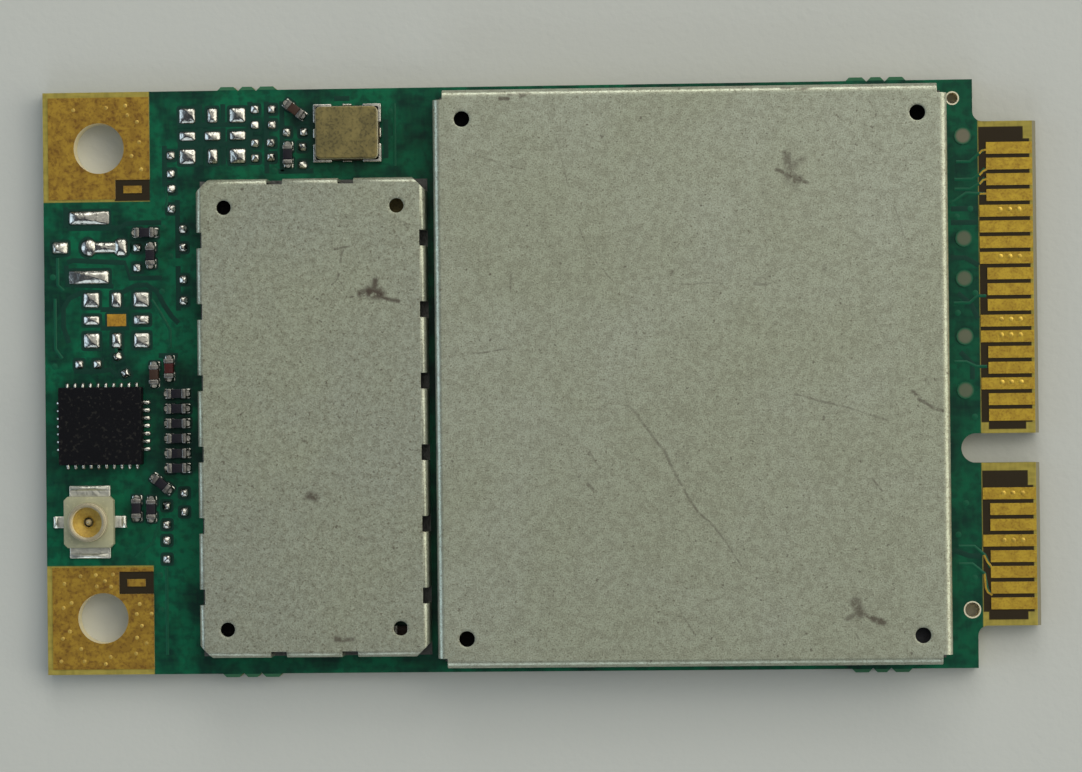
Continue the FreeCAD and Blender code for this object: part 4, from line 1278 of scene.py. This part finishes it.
def thicken(piece: bpy.types.Object, sheet: float, edge: float) -> None:
    """Gives a surface the thickness of its sheet and breaks its cut edges.

    Args:
        piece: Object whose mesh is one outer surface.
        sheet: Thickness in millimetres.
        edge: Width of the broken edge in millimetres.
    """
    solid = piece.modifiers.new("sheet", "SOLIDIFY")
    solid.thickness = sheet * METRES
    solid.offset = -1
    solid.use_even_offset = True
    bevel = piece.modifiers.new("edge", "BEVEL")
    bevel.width = edge * METRES
    bevel.segments = 2
    bevel.limit_method = "ANGLE"
    bevel.angle_limit = math.radians(50)
    apply_modifiers(piece)


# ----------------------------------------------------------------- board parts

LAND_DIMPLES = (
    (1.74, 24.92), (2.53, 24.87), (3.42, 24.84), (3.0, 25.18), (2.58, 25.45), (3.32, 25.47), (4.79, 26.37),
    (4.63, 26.89), (5.4, 26.87), (1.26, 26.29), (0.84, 26.55), (1.16, 27.76), (0.79, 28.13), (4.89, 27.5),
    (4.63, 28.1), (5.13, 28.4), (4.58, 28.92), (3.26, 29.08), (1.74, 28.66), (3.0, 29.45), (0.9, 25.3),
    (1.9, 29.3), (0.7, 29.3), (4.9, 1.55), (4.4, 1.2), (5.0, 2.6), (4.6, 3.3), (5.1, 4.0), (4.3, 0.7),
    (3.3, 0.8), (1.6, 0.9),
)
CLEARED_LANDS = (
    "empty_footprint_lands", "upper_filter_lands", "lower_filter_lands", "lower_filter_gold_land",
    "open_strip_part_lands", "spare_socket_lands")
GROUND_HOLES = ((47.465, 27.03, 0.39), (46.735, 0.95, 0.3))
DOT_COLUMNS = (49.1, 49.58, 50.07)
DOTTED_CONTACTS = (6.65, 9.05, 12.25, 13.05, 15.45, 21.1, 23.5)
GAPS = (
    ((4.1, 10.3), (4.7, 10.0), (5.3, 9.95), (5.85, 10.3), (6.2, 11.0), (6.6, 11.6), (6.95, 11.95)),
    ((1.95, 10.3), (1.3, 10.6), (0.98, 11.1), (0.98, 12.1), (1.25, 12.9)),
    ((1.2, 7.0), (3.9, 7.0), (4.3, 6.8), (5.0, 6.75), (6.1, 6.75)),
    ((1.2, 8.75), (1.5, 8.65), (4.2, 8.8), (4.45, 9.6), (6.1, 9.6)), ((1.15, 5.9), (1.15, 6.95)),
    ((1.15, 8.9), (1.15, 9.9), (3.6, 10.0)),
    ((1.5, 14.35), (2.3, 14.4), (3.4, 14.3), (3.7, 14.6), (4.5, 14.65)), ((2.9, 11.2), (4.4, 11.2)),
    ((2.9, 12.15), (4.4, 12.15)), ((6.95, 5.6), (6.95, 8.6)), ((6.95, 9.0), (6.95, 11.3)),
    ((5.9, 13.6), (6.9, 13.6)), ((7.0, 1.75), (10.6, 1.75)), ((7.0, 2.75), (10.6, 2.75)),
    ((8.15, 0.7), (8.15, 1.6)), ((9.35, 0.7), (9.35, 1.6)), ((8.15, 1.9), (8.15, 2.6)),
    ((9.35, 1.9), (9.35, 2.6)), ((8.15, 2.9), (8.15, 3.8)), ((9.35, 2.9), (9.35, 3.8)),
    ((10.75, 0.6), (10.75, 3.7)), ((11.6, 0.6), (11.6, 4.3)), ((12.4, 0.6), (12.4, 4.2)),
    ((15.1, 0.5), (15.9, 0.5)), ((17.75, 1.6), (17.75, 3.6)), ((12.2, 4.2), (14.0, 4.2)),
    ((6.3, 2.8), (6.3, 4.9)), ((46.6, 6.6), (47.95, 6.6)), ((46.6, 7.3), (47.95, 7.3)),
    ((46.55, 9.1), (47.3, 9.1), (48.0, 9.5)), ((46.9, 10.9), (47.6, 11.5), (47.9, 12.2)),
    ((47.0, 13.9), (47.6, 14.5), (47.6, 15.3)), ((46.55, 24.0), (47.4, 24.3), (47.9, 24.3)),
)
TRACKS = (
    ((48.3, 3.6), (48.1, 3.75), (47.6, 4.2), (46.9, 4.2)),
    ((48.35, 4.55), (48.1, 4.85), (47.7, 5.1), (46.8, 5.1)),
    ((48.35, 5.05), (48.1, 5.3), (47.6, 5.6), (46.8, 5.6)), ((48.35, 5.85), (47.4, 5.8), (46.6, 6.3)),
    ((48.4, 24.9), (48.12, 24.25), (47.6, 23.8), (46.8, 23.8)),
    ((48.4, 26.25), (48.22, 26.0), (48.1, 25.2), (47.5, 24.7), (46.8, 24.7)),
    ((48.35, 11.05), (47.9, 11.05), (47.5, 11.4), (46.7, 11.4)),
    ((48.35, 14.65), (47.8, 14.65), (47.3, 14.4), (46.7, 14.4)),
    ((5.55, 10.7), (6.0, 11.4), (6.5, 12.3), (6.5, 13.2)), ((0.55, 10.6), (0.55, 13.2), (0.9, 13.7)),
    ((6.4, 4.9), (6.4, 6.0)), ((0.7, 8.5), (0.7, 9.9), (1.0, 10.2)), ((6.2, 24.5), (6.2, 29.0)),
    ((18.2, 0.8), (18.2, 4.0)), ((3.7, 13.2), (3.7, 13.9)), ((4.6, 24.0), (5.5, 23.2), (5.9, 22.0)),
)
CURLS = (
    ((48.08, 3.8), (48.2, 3.65), (48.45, 3.6)), ((48.08, 4.9), (48.25, 4.7), (48.45, 4.6)),
    ((48.08, 5.35), (48.25, 5.15), (48.45, 5.1)), ((48.08, 5.85), (48.45, 5.85)),
    ((48.08, 24.25), (48.25, 24.6), (48.48, 24.9)),
    ((48.1, 25.2), (48.15, 25.9), (48.25, 26.15), (48.48, 26.3)),
)
VIAS = (
    (6.55, 8.5), (6.2, 7.0), (6.1, 10.3), (6.4, 12.9), (0.45, 9.5), (0.5, 14.1), (0.45, 18.6), (5.85, 24.9),
    (5.9, 26.7), (18.0, 1.2), (18.15, 2.6), (12.0, 4.15), (47.6, 6.6), (46.9, 7.0), (47.8, 10.9),
    (46.9, 11.9), (47.7, 17.2), (47.2, 21.6), (46.8, 23.2), (47.6, 25.4), (14.9, 4.1),
)


def bottom_tracks(count: int = 46) -> list[list[Point]]:
    """Tracks of the underside, which turn by 45 degrees and keep to the middle of the board.

    Args:
        count: Number of tracks.

    Returns:
        Lines of measured places.
    """
    rng = random.Random(7)
    lines = []
    for _ in range(count):
        along, across = rng.uniform(6.5, 44.0), rng.uniform(2.0, 22.5)
        heading = rng.randrange(8)
        line = [(along, across)]
        for _ in range(rng.randrange(2, 5)):
            reach = rng.uniform(1.0, 4.5)
            along += reach * math.cos(heading * math.pi / 4)
            across += reach * math.sin(heading * math.pi / 4)
            if not (6.2 < along < 46.5 and 1.2 < across < 23.5):
                break
            line.append((along, across))
            heading += rng.choice((-1, 1))
        if len(line) > 1:
            lines.append(line)
    return lines


@dataclass
class Board:
    """Circuit board with its mask relief, lands, contacts and plated holes."""

    clearance: float = 0.12
    film: float = 0.006
    track_width: float = 0.16
    track_height: float = 0.016
    gap_width: float = 0.26
    via_radius: float = 0.16
    contact_dimple: Point = (0.12, 0.03)
    land_dimple: Point = (0.1, 0.02)
    curl: Point = (0.12, 0.03)
    plating: float = 0.02
    rim_width: float = 0.05

    def dress_solids(self) -> None:
        """Gives the flat solids their finishes."""
        dress(Finishes.board, "circuit_board")
        dress(Finishes.contact, "contact_fingers_top", "contact_fingers_bottom")
        dress(Finishes.land, "upper_mounting_land", "lower_mounting_land", "bottom_test_pads")
        dress(Finishes.plain_gold, "lower_filter_gold_land")
        pads = tuple((pad.x, pad.y, max(pad.length, pad.width) / 2) for pad in solids_of("tented_round_pads"))
        dress(replace(Finishes.masked_copper, pads=pads), "tented_round_pads")
        # The ground tracks get the near-black finish that is painted shade.
        dress(Finishes.track_painted_shade, "small_shield_ground_track", "large_shield_ground_track")

    def clearances(self) -> bpy.types.Object:
        """Dark rims where the mask stops short of each land.

        Returns:
            The piece.
        """
        shape = Shape()
        grow = 2 * self.clearance
        for node in CLEARED_LANDS:
            for pad in solids_of(node):
                outline = rounded(pad.length + grow, pad.width + grow, 0.15)
                if pad.length > EmptyLands.DUMBBELL_LENGTH:
                    outline = [(px * (1 + grow / pad.length), py * (1 + grow / pad.width))
                               for px, py in EmptyLands.dumbbell(pad)]
                shape.skin([pad.ring(outline, BOARD_TOP), pad.ring(outline, BOARD_TOP + self.film)])
        return shape.piece("pad_clearances", [Finishes.clearance], "green_board")

    def contact_dimples(self) -> bpy.types.Object:
        """Small round dimples on the dotted contacts and the thin tracks that run into others.

        Returns:
            The piece.
        """
        shape = Shape()
        radius, rise = self.contact_dimple
        for across in DOTTED_CONTACTS:
            for along in DOT_COLUMNS:
                shape.dome(seat(along, across, LAND_TOP), circle(radius, 12), rise, steps=3)
        width, height = self.curl
        for line in CURLS:
            shape.ribbon([spot(*point) for point in line], width, BOARD_TOP, height, 1)
        return shape.piece("contact_dimples", [Finishes.dot, Finishes.contact], "hard_gold")

    def land_dimples(self) -> bpy.types.Object:
        """Filled holes that show as bright dots on the mounting lands.

        Returns:
            The piece.
        """
        shape = Shape()
        radius, rise = self.land_dimple
        for along, across in LAND_DIMPLES:
            shape.dome(seat(along, across, LAND_TOP), circle(radius, 12), rise, steps=3)
        return shape.piece("land_dimples", [Finishes.via], "immersion_gold")

    def plated_rings(self) -> bpy.types.Object:
        """Plated walls and rims of the two ground holes near the tongue.

        Returns:
            The piece.
        """
        shape = Shape()
        tall, lip = BOARD_TOP - BOARD_BOTTOM, self.track_height
        for along, across, radius in GROUND_HOLES:
            inner, wall, rim = radius - self.plating, radius + 0.005, radius + self.rim_width
            shape.turned(seat(along, across, BOARD_BOTTOM), [
                (inner, -lip), (rim, -lip), (rim, 0.0), (wall, 0.0), (wall, tall), (rim, tall),
                (rim, tall + lip), (inner, tall + lip)], count=28)
        return shape.piece("plated_rings", [Finishes.plated], "hard_gold")

    def relief(self, side: Side, tracks: Iterable, gaps: Iterable, vias: Iterable) -> bpy.types.Object:
        """Tracks, gaps in the copper and filled holes that show through the mask.

        Args:
            side: Face of the board.
            tracks: Lines of copper.
            gaps: Lines without copper.
            vias: Places of filled holes.

        Returns:
            The piece.
        """
        shape = Shape()
        level, way = side.value
        for line in gaps:
            shape.ribbon([spot(*point) for point in line], self.gap_width, level, way * self.film * 0.5, 1)
        for line in tracks:
            shape.ribbon([spot(*point) for point in line], self.track_width, level, way * self.track_height)
        for along, across in vias:
            shape.dome(
                seat(along, across, level), circle(self.via_radius, 12), way * self.track_height, steps=3)
        return shape.piece(f"mask_relief_{side.name.lower()}", [Finishes.trace, Finishes.gap], "green_board")

    def build(self) -> None:
        """Dresses the board and adds its relief."""
        self.dress_solids()
        self.clearances()
        self.contact_dimples()
        self.land_dimples()
        self.plated_rings()
        self.relief(Side.TOP, TRACKS, GAPS, VIAS)
        tracks = bottom_tracks()
        self.relief(Side.BOTTOM, tracks, (), [line[-1] for line in tracks])


@dataclass
class EmptyLands:
    """Solder standing on the lands that carry no part."""

    DUMBBELL_LENGTH = 2.3
    NECK = 0.27
    LEAN = 0.18
    HEIGHTS = {"empty_footprint": 0.2, "upper_filter": 0.2, "lower_filter": 0.2, "spare_socket": 0.26}

    def drops(self, name: str, node: str, height: float) -> bpy.types.Object:
        """One drop of solder for each land of a node.

        Args:
            name: Name of the piece.
            node: Node of the lands.
            height: Height of the drops above the board.

        Returns:
            The piece.
        """
        rng = random.Random(name)
        shape = Shape()
        for pad in solids_of(node):
            rise = height * rng.uniform(0.85, 1.1)
            if pad.length > self.DUMBBELL_LENGTH:
                self.three_drops(shape, pad, rise)
                continue
            lean = tuple(rng.uniform(-self.LEAN, self.LEAN) * size for size in (pad.length, pad.width))
            shape.dome(pad, rounded(pad.length, pad.width, 0.12, 4), rise, lean=lean)
        return shape.piece(name, [Finishes.solder], "solder_tin", [node], 70)

    def three_drops(self, shape: Shape, pad: Pad, height: float) -> None:
        """Solder of the dumbbell land: a drop on each bulb and one along the neck.

        Args:
            shape: Mesh to build in.
            pad: Box about the land.
            height: Height of the drops.
        """
        radius = pad.width / 2
        reach = pad.length / 2 - radius
        shape.dome(pad, rounded(2 * reach, 2 * self.NECK, 0.1, 4), height * 0.8)
        for outline, side in ((rounded(2 * radius - 0.2, 2 * radius, 0.2, 5), 1), (circle(radius), -1)):
            middle = pad.ring([(side * reach, 0.0)], pad.bottom)[0]
            shape.dome(replace(pad, x=middle.x, y=middle.y), outline, height)

    @staticmethod
    def dumbbell(pad: Pad) -> list[Point]:
        """Outline of the land with two round ends and a narrow neck.

        Args:
            pad: Box about the land.

        Returns:
            Points about zero, counter-clockwise.
        """
        radius = pad.width / 2
        reach = pad.length / 2 - radius
        turn = math.acos(-math.sqrt(1 - (EmptyLands.NECK / radius) ** 2))
        points = []
        for side in (1, -1):
            for step in range(13):
                angle = -turn + 2 * turn * step / 12 + (0 if side == 1 else math.pi)
                points.append((side * reach + radius * math.cos(angle), radius * math.sin(angle)))
        return points

    def build(self) -> None:
        """Builds the drops of every empty footprint."""
        for group, height in self.HEIGHTS.items():
            self.drops(f"{group}_solder", f"{group}_lands", height)


@dataclass
class StripParts:
    """Small two-ended parts beside the small shield."""

    DARK, BROWN, RED = 0, 1, 2
    COLOURED = (((5.70, 14.58), BROWN), ((13.07, 1.05), BROWN), ((6.48, 14.27), RED))

    near: float = 0.2
    edge: float = 0.05
    foot: Point = (0.5, 0.54)
    end: Point = (0.26, 0.5)
    climb: float = 0.3

    def tone(self, pad: Pad) -> int:
        """Number of a body's finish.

        Args:
            pad: Box of the body.

        Returns:
            The finish of the coloured place that the body stands at, or the dark one.
        """
        for place, tone in self.COLOURED:
            if math.dist((pad.x, pad.y), spot(*place)) < self.near:
                return tone
        return self.DARK

    def build(self) -> None:
        """Builds the bodies, the caps and the solder at their ends."""
        bodies = Shape()
        for pad in solids_of("open_strip_part_bodies"):
            bodies.block(pad, 0.02, 0.04, self.tone(pad))
        bodies.piece(
            "open_strip_bodies", [Finishes.ceramic_dark, Finishes.ceramic_brown, Finishes.ceramic_red],
            "part_ceramic", ["open_strip_part_bodies"])
        caps = Shape()
        for pad in solids_of("open_strip_part_caps"):
            caps.block(pad, 0.05, self.edge)
        caps.piece("open_strip_caps", [Finishes.cap_tin], "cap_tin", ["open_strip_part_caps"])
        feet = Shape()
        for pad in solids_of("open_strip_part_lands"):
            feet.fillet(pad, self.foot, self.end, self.climb)
        feet.piece("open_strip_solder", [Finishes.solder], "solder_tin", ["open_strip_part_lands"], 60)


@dataclass
class ControllerChip:
    """Flat leadless chip with solder showing at every lead."""

    GROUND_PAD_WIDTH = 1
    LONG_LEAD = 0.12
    WIDE_LEAD = 1.15

    def build(self) -> None:
        """Builds the moulded body and the solder."""
        body = Shape()
        pad = solids_of("controller_chip_body")[0]
        body.block(pad, 0.08, 0.05, shrink=0.01)
        body.piece("controller_chip", [Finishes.chip], "chip_mould", ["controller_chip_body"])
        solder = Shape()
        for lead in solids_of("controller_chip_leads"):
            if lead.width > self.GROUND_PAD_WIDTH:
                solder.block(lead, 0.05, 0.01)
                continue
            outline = rounded(lead.length, lead.width, 0.08)
            if lead.x > pad.x + pad.length / 2 - 0.2:
                outline = [(x + self.LONG_LEAD if x > 0 else x, y * self.WIDE_LEAD) for x, y in outline]
            solder.dome(lead, outline, lead.top - lead.bottom, steps=4)
        solder.piece("controller_chip_solder", [Finishes.solder], "solder_tin", ["controller_chip_leads"], 60)


@dataclass
class AntennaSocket:
    """Coaxial socket: plastic housing, turned barrel, tabs and centre pin."""

    TIN, CUP, BEAD = 1, 2, 3
    PIN_BEAD = 2

    barrel: float = 1.0
    wall: float = 0.22
    groove: float = 0.07
    well: float = 1.01
    cut: float = 0.2
    base: float = 0.12
    pin: float = 0.19
    bead: float = 0.26
    bead_height: float = 0.12
    strip: float = 0.15
    strip_width: float = 0.6
    tab_length: float = 2.12
    count: int = 40

    def build(self) -> None:
        """Builds the socket's three pieces and the solder at its tabs."""
        low, high = (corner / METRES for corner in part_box("antenna_socket_housing"))
        x, y = (low.x + high.x) / 2, (low.y + high.y) / 2
        middle = Pad(x, y, 0, high.x - low.x, high.y - low.y, LAND_TOP, high.z)
        self.housing(middle)
        self.shell(middle)
        self.centre(middle)

    def housing(self, pad: Pad) -> None:
        """Plastic body with cut corners and a round well.

        Args:
            pad: Box of the housing.
        """
        shape = Shape()
        base = pad.bottom + self.base
        rings = []
        for inset, height in ((0.0, base), (0.0, pad.top - 0.06), (0.02, pad.top - 0.02), (0.06, pad.top)):
            half_x, half_y = pad.length / 2 - inset, pad.width / 2 - inset
            short_x, short_y = half_x - self.cut, half_y - self.cut
            outline = [(half_x, -short_y), (half_x, short_y), (short_x, half_y), (-short_x, half_y),
                       (-half_x, short_y), (-half_x, -short_y), (-short_x, -half_y), (short_x, -half_y)]
            rings.append(pad.ring(outline, height))
        shape.skin(rings, top=False)
        outer = [v for v in shape.bm.verts if abs(v.co.z - pad.top) < 1e-6]
        order = sorted(outer, key=lambda v: math.atan2(v.co.y - pad.y, v.co.x - pad.x))
        edges = FoldedShield.loop(shape, order)
        well, floor = (
            [shape.bm.verts.new(point) for point in pad.ring(circle(self.well, self.count), height)]
            for height in (pad.top, base))
        edges += FoldedShield.loop(shape, well)
        bmesh.ops.triangle_fill(shape.bm, use_beauty=True, use_dissolve=False, edges=edges)
        for i in range(self.count):
            j = (i + 1) % self.count
            shape.bm.faces.new((well[i], well[j], floor[j], floor[i]))
        shape.piece(
            "antenna_socket_body", [Finishes.plastic], "socket_plastic", ["antenna_socket_housing"], 30)

    def tab(self, shape: Shape, pad: Pad, foot: Point, size: Point, tone: int) -> None:
        """Flat tab with a bead of solder at its end.

        Args:
            shape: Mesh to build in.
            pad: Box of the tab.
            foot: Place of the bead.
            size: Length and width of the bead.
            tone: Number of the bead's finish.
        """
        shape.block(pad, 0.05, 0.04, self.TIN)
        bead = Pad(*foot, 0, 1, 1, pad.top - 0.03, pad.top)
        shape.dome(bead, rounded(*size, 0.1, 4), self.bead_height, tone)

    def shell(self, pad: Pad) -> None:
        """Gold barrel, tinned tabs and the solder under them.

        Args:
            pad: Box of the housing.
        """
        shape = Shape()
        low, high = (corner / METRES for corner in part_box("antenna_socket_outer_contact"))
        tall, top = high.z - pad.bottom, pad.bottom + self.strip
        outer, inner, neck = self.barrel, self.barrel - self.wall, self.barrel - self.groove
        shape.turned(pad, [
            (inner, 0.0), (outer, 0.0), (outer, 0.73), (neck, 0.8), (neck, 0.98), (outer, 1.05),
            (outer - 0.01, tall - 0.07), (outer - 0.04, tall - 0.02), (outer - 0.09, tall),
            (inner + 0.08, tall), (inner + 0.03, tall - 0.02), (inner, tall - 0.07)])
        shape.turned(pad, [
            (self.pin + 0.06, 0.4), (inner - 0.01, 0.4), (inner - 0.01, 0.85), (self.pin + 0.2, 0.72),
            (self.pin + 0.06, 0.6)], self.CUP)
        reach = (high.y - low.y) / 2
        middle = pad.width / 2 + (reach - pad.width / 2) / 2 - 0.1
        for side in (1, -1):
            plate = Pad(
                pad.x, pad.y + side * middle, 0, self.tab_length, reach - pad.width / 2 + 0.2,
                pad.bottom, top)
            foot = (pad.x, pad.y + side * (reach - self.bead / 2))
            self.tab(shape, plate, foot, (self.tab_length, self.bead), self.BEAD)
        left = Pad(
            (low.x + pad.x - pad.length / 2) / 2 + 0.1, pad.y, 0, 0.8, self.strip_width, pad.bottom, top)
        self.tab(shape, left, (low.x + self.bead / 2, pad.y), (self.bead, self.strip_width), self.BEAD)
        finishes = [Finishes.socket_gold, Finishes.bright_tin, Finishes.socket_cup, Finishes.bead_tin]
        shape.piece("antenna_socket_shell", finishes, "socket_gold", ["antenna_socket_outer_contact"])

    def centre(self, pad: Pad) -> None:
        """Centre pin with a round tip and its signal strip.

        Args:
            pad: Box of the housing.
        """
        shape = Shape()
        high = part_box("antenna_socket_centre_contact")[1] / METRES
        rings = [pad.ring(circle(self.pin), height) for height in (pad.bottom, high.z - 0.5)]
        for step in range(5):
            angle = math.pi / 2 * step / 4.4
            height = high.z - 0.1 + 0.1 * math.sin(angle)
            rings.append(pad.ring(circle(self.pin * 0.5 * math.cos(angle)), height))
        shape.skin(rings)
        strip = Pad(
            (pad.x + high.x) / 2, pad.y, 0, high.x - pad.x, self.strip_width, pad.bottom,
            pad.bottom + self.strip)
        self.tab(shape, strip, (high.x - self.bead / 2, pad.y), (self.bead, self.strip_width), self.PIN_BEAD)
        finishes = [Finishes.socket_gold, Finishes.bright_tin, Finishes.bead_tin]
        shape.piece("antenna_socket_pin", finishes, "socket_gold", ["antenna_socket_centre_contact"])


@dataclass
class Oscillator:
    """Metal-lidded oscillator module with solder along its sides."""

    def build(self) -> None:
        """Builds the base, the welded lid and the solder at the terminals."""
        base = Shape()
        base.block(solids_of("oscillator_base")[0], 0.12, 0.03)
        base.piece("oscillator_body", [Finishes.base_ceramic], "dark_ceramic", ["oscillator_base"])
        lid = Shape()
        pad = solids_of("oscillator_lid")[0]
        lid.block(pad, 0.25, 0.1, steps=4)
        lid.piece("oscillator_cover", [Finishes.lid], "lid_metal", ["oscillator_lid"])
        solder = Shape()
        for land in solids_of("oscillator_terminals"):
            covered = min(land.length, land.width) > 1
            solder.block(land, *((0.05, 0.01) if covered else (0.04, 0.04)))
        solder.piece("oscillator_solder", [Finishes.solder], "solder_tin", ["oscillator_terminals"])


class HiddenParts:
    """Parts that the shields cover, which keep their plain solids."""

    def build(self) -> None:
        """Gives each covered part its finish."""
        # The frame gets the near-black finish that is painted shade.
        dress(Finishes.frame_sheet, "large_shield_frame")
        dress(Finishes.chip, "baseband_processor", "memory_chip", "power_manager_chip", "radio_transceiver",
              "power_amplifier_chips", "antenna_switch_chip")
        dress(Finishes.solder, "baseband_solder_posts")
        dress(Finishes.lid, "main_crystal", "duplexer_filters")
        dress(Finishes.ferrite, "power_inductors")
        dress(Finishes.ceramic_brown, "large_side_capacitor_bodies", "small_side_capacitor_bodies")
        dress(Finishes.bright_tin, "large_side_capacitor_caps", "small_side_capacitor_caps")


# --------------------------------------------------------------------- studio

@dataclass(frozen=True)
class Lamp:
    """A soft rectangular lamp aimed at the card; places are in millimetres."""

    name: str
    place: tuple[float, float, float]
    size: float
    strength: float
    colour: Colour

    def build(self) -> None:
        """Hangs the lamp and points it at the card."""
        data = bpy.data.lights.new(self.name, "AREA")
        data.shape = "SQUARE"
        data.size = self.size * METRES
        data.energy = self.strength
        data.color = self.colour
        lamp = bpy.data.objects.new(self.name, data)
        lamp.location = Vector(self.place) * METRES
        lamp.rotation_euler = (-Vector(self.place)).to_track_quat("-Z", "Y").to_euler()
        bpy.context.scene.collection.objects.link(lamp)


@dataclass
class Studio:
    """Plain floor, soft lamps, even surroundings and the camera."""

    eye: tuple[float, float, float] = (10.1, -1.88, 200.0)
    tilt: tuple[float, float, float] = (0.397, 2.878, -0.631)
    focal_pixels: float = 3888.7
    sensor: float = 36.0
    floor_reach: float = 600.0
    glow: Colour = (1.0, 0.99, 0.95)
    gloom: Colour = (0.07, 0.08, 0.1)
    glow_way: tuple[float, float, float] = (0.27, 0.5, 0.823)
    right_wall: Colour = (1.35, 1.33, 1.2)
    left_wall: Colour = (0.5, 0.64, 0.82)
    lamps: tuple[Lamp, ...] = (
        Lamp("key_lamp", (230, 220, 300), 280, 0.56, (1.0, 0.97, 0.9)),
        Lamp("right_lamp", (400, 10, 190), 320, 0.5, (1.0, 0.98, 0.92)),
        Lamp("upper_lamp", (0, 380, 200), 200, 0.45, (1.0, 1.0, 0.98)),
        Lamp("left_lamp", (-400, 0, 150), 220, 0.3, (0.66, 0.82, 1.0)),
        Lamp("lower_lamp", (-60, -380, 200), 260, 0.42, (0.8, 0.9, 1.0)),
    )

    def camera(self) -> None:
        """Sets the camera at the photograph's place, angle and lens."""
        data = bpy.data.cameras.new("card_camera")
        data.sensor_width = self.sensor
        data.lens = self.focal_pixels / PHOTO_WIDTH * self.sensor
        data.clip_start = 0.001
        camera = bpy.data.objects.new("card_camera", data)
        camera.location = Vector(self.eye) * METRES
        camera.rotation_euler = tuple(math.radians(angle) for angle in self.tilt)
        bpy.context.scene.collection.objects.link(camera)
        bpy.context.scene.camera = camera

    def floor(self) -> None:
        """Lays the plain floor under the card."""
        bm = bmesh.new()
        bmesh.ops.create_grid(bm, x_segments=8, y_segments=8, size=self.floor_reach)
        new_object("floor", bm, [Finishes.floor])

    def surroundings(self) -> None:
        """Dim surroundings with a soft glow overhead and a pale wall on either side."""
        graph = Graph(bpy.data.worlds.new("studio"))
        way = Value(graph, graph.node("ShaderNodeTexCoord", {}, {}).outputs["Generated"])
        colour = graph.mix(way.dot(self.glow_way).rise(0.6, 1.0), self.gloom, self.glow)
        colour = graph.mix(way.part(0).rise(0.55, 0.8), colour, self.right_wall)
        colour = graph.mix(way.part(0).rise(-0.6, -0.85), colour, self.left_wall)
        bpy.context.scene.world = graph.finish(Color=colour)

    def build(self) -> None:
        """Builds the studio."""
        self.surroundings()
        bpy.context.scene.view_settings.view_transform = "Standard"
        self.floor()
        for lamp in self.lamps:
            lamp.build()
        self.camera()


def main() -> None:
    """Builds the card's pieces in order, then the studio."""
    logging.basicConfig(level=logging.INFO, format="%(message)s")
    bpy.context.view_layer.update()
    Board().build()
    FoldedShield(
        "large_cover", "large_shield_cover", Finishes.large_sheet, sheet=0.2, fold=0.4, corner=0.5,
        tapered=False, vent_inset=1.5, vent_diameter=0.8, window_length=1.2, window_height=0.35,
        window_middle=LAND_TOP + 1.0).build("shield_sheet")
    FoldedShield(
        "small_can", "small_shield_can", Finishes.small_sheet, sheet=0.2, fold=0.3, corner=0.65, tapered=True,
        vent_inset=1.45, vent_diameter=0.74, slot_width=0.8, slot_pitch=3.64).build("shield_sheet")
    EmptyLands().build()
    StripParts().build()
    ControllerChip().build()
    AntennaSocket().build()
    Oscillator().build()
    HiddenParts().build()
    Studio().build()


if __name__ == "__main__":
    main()
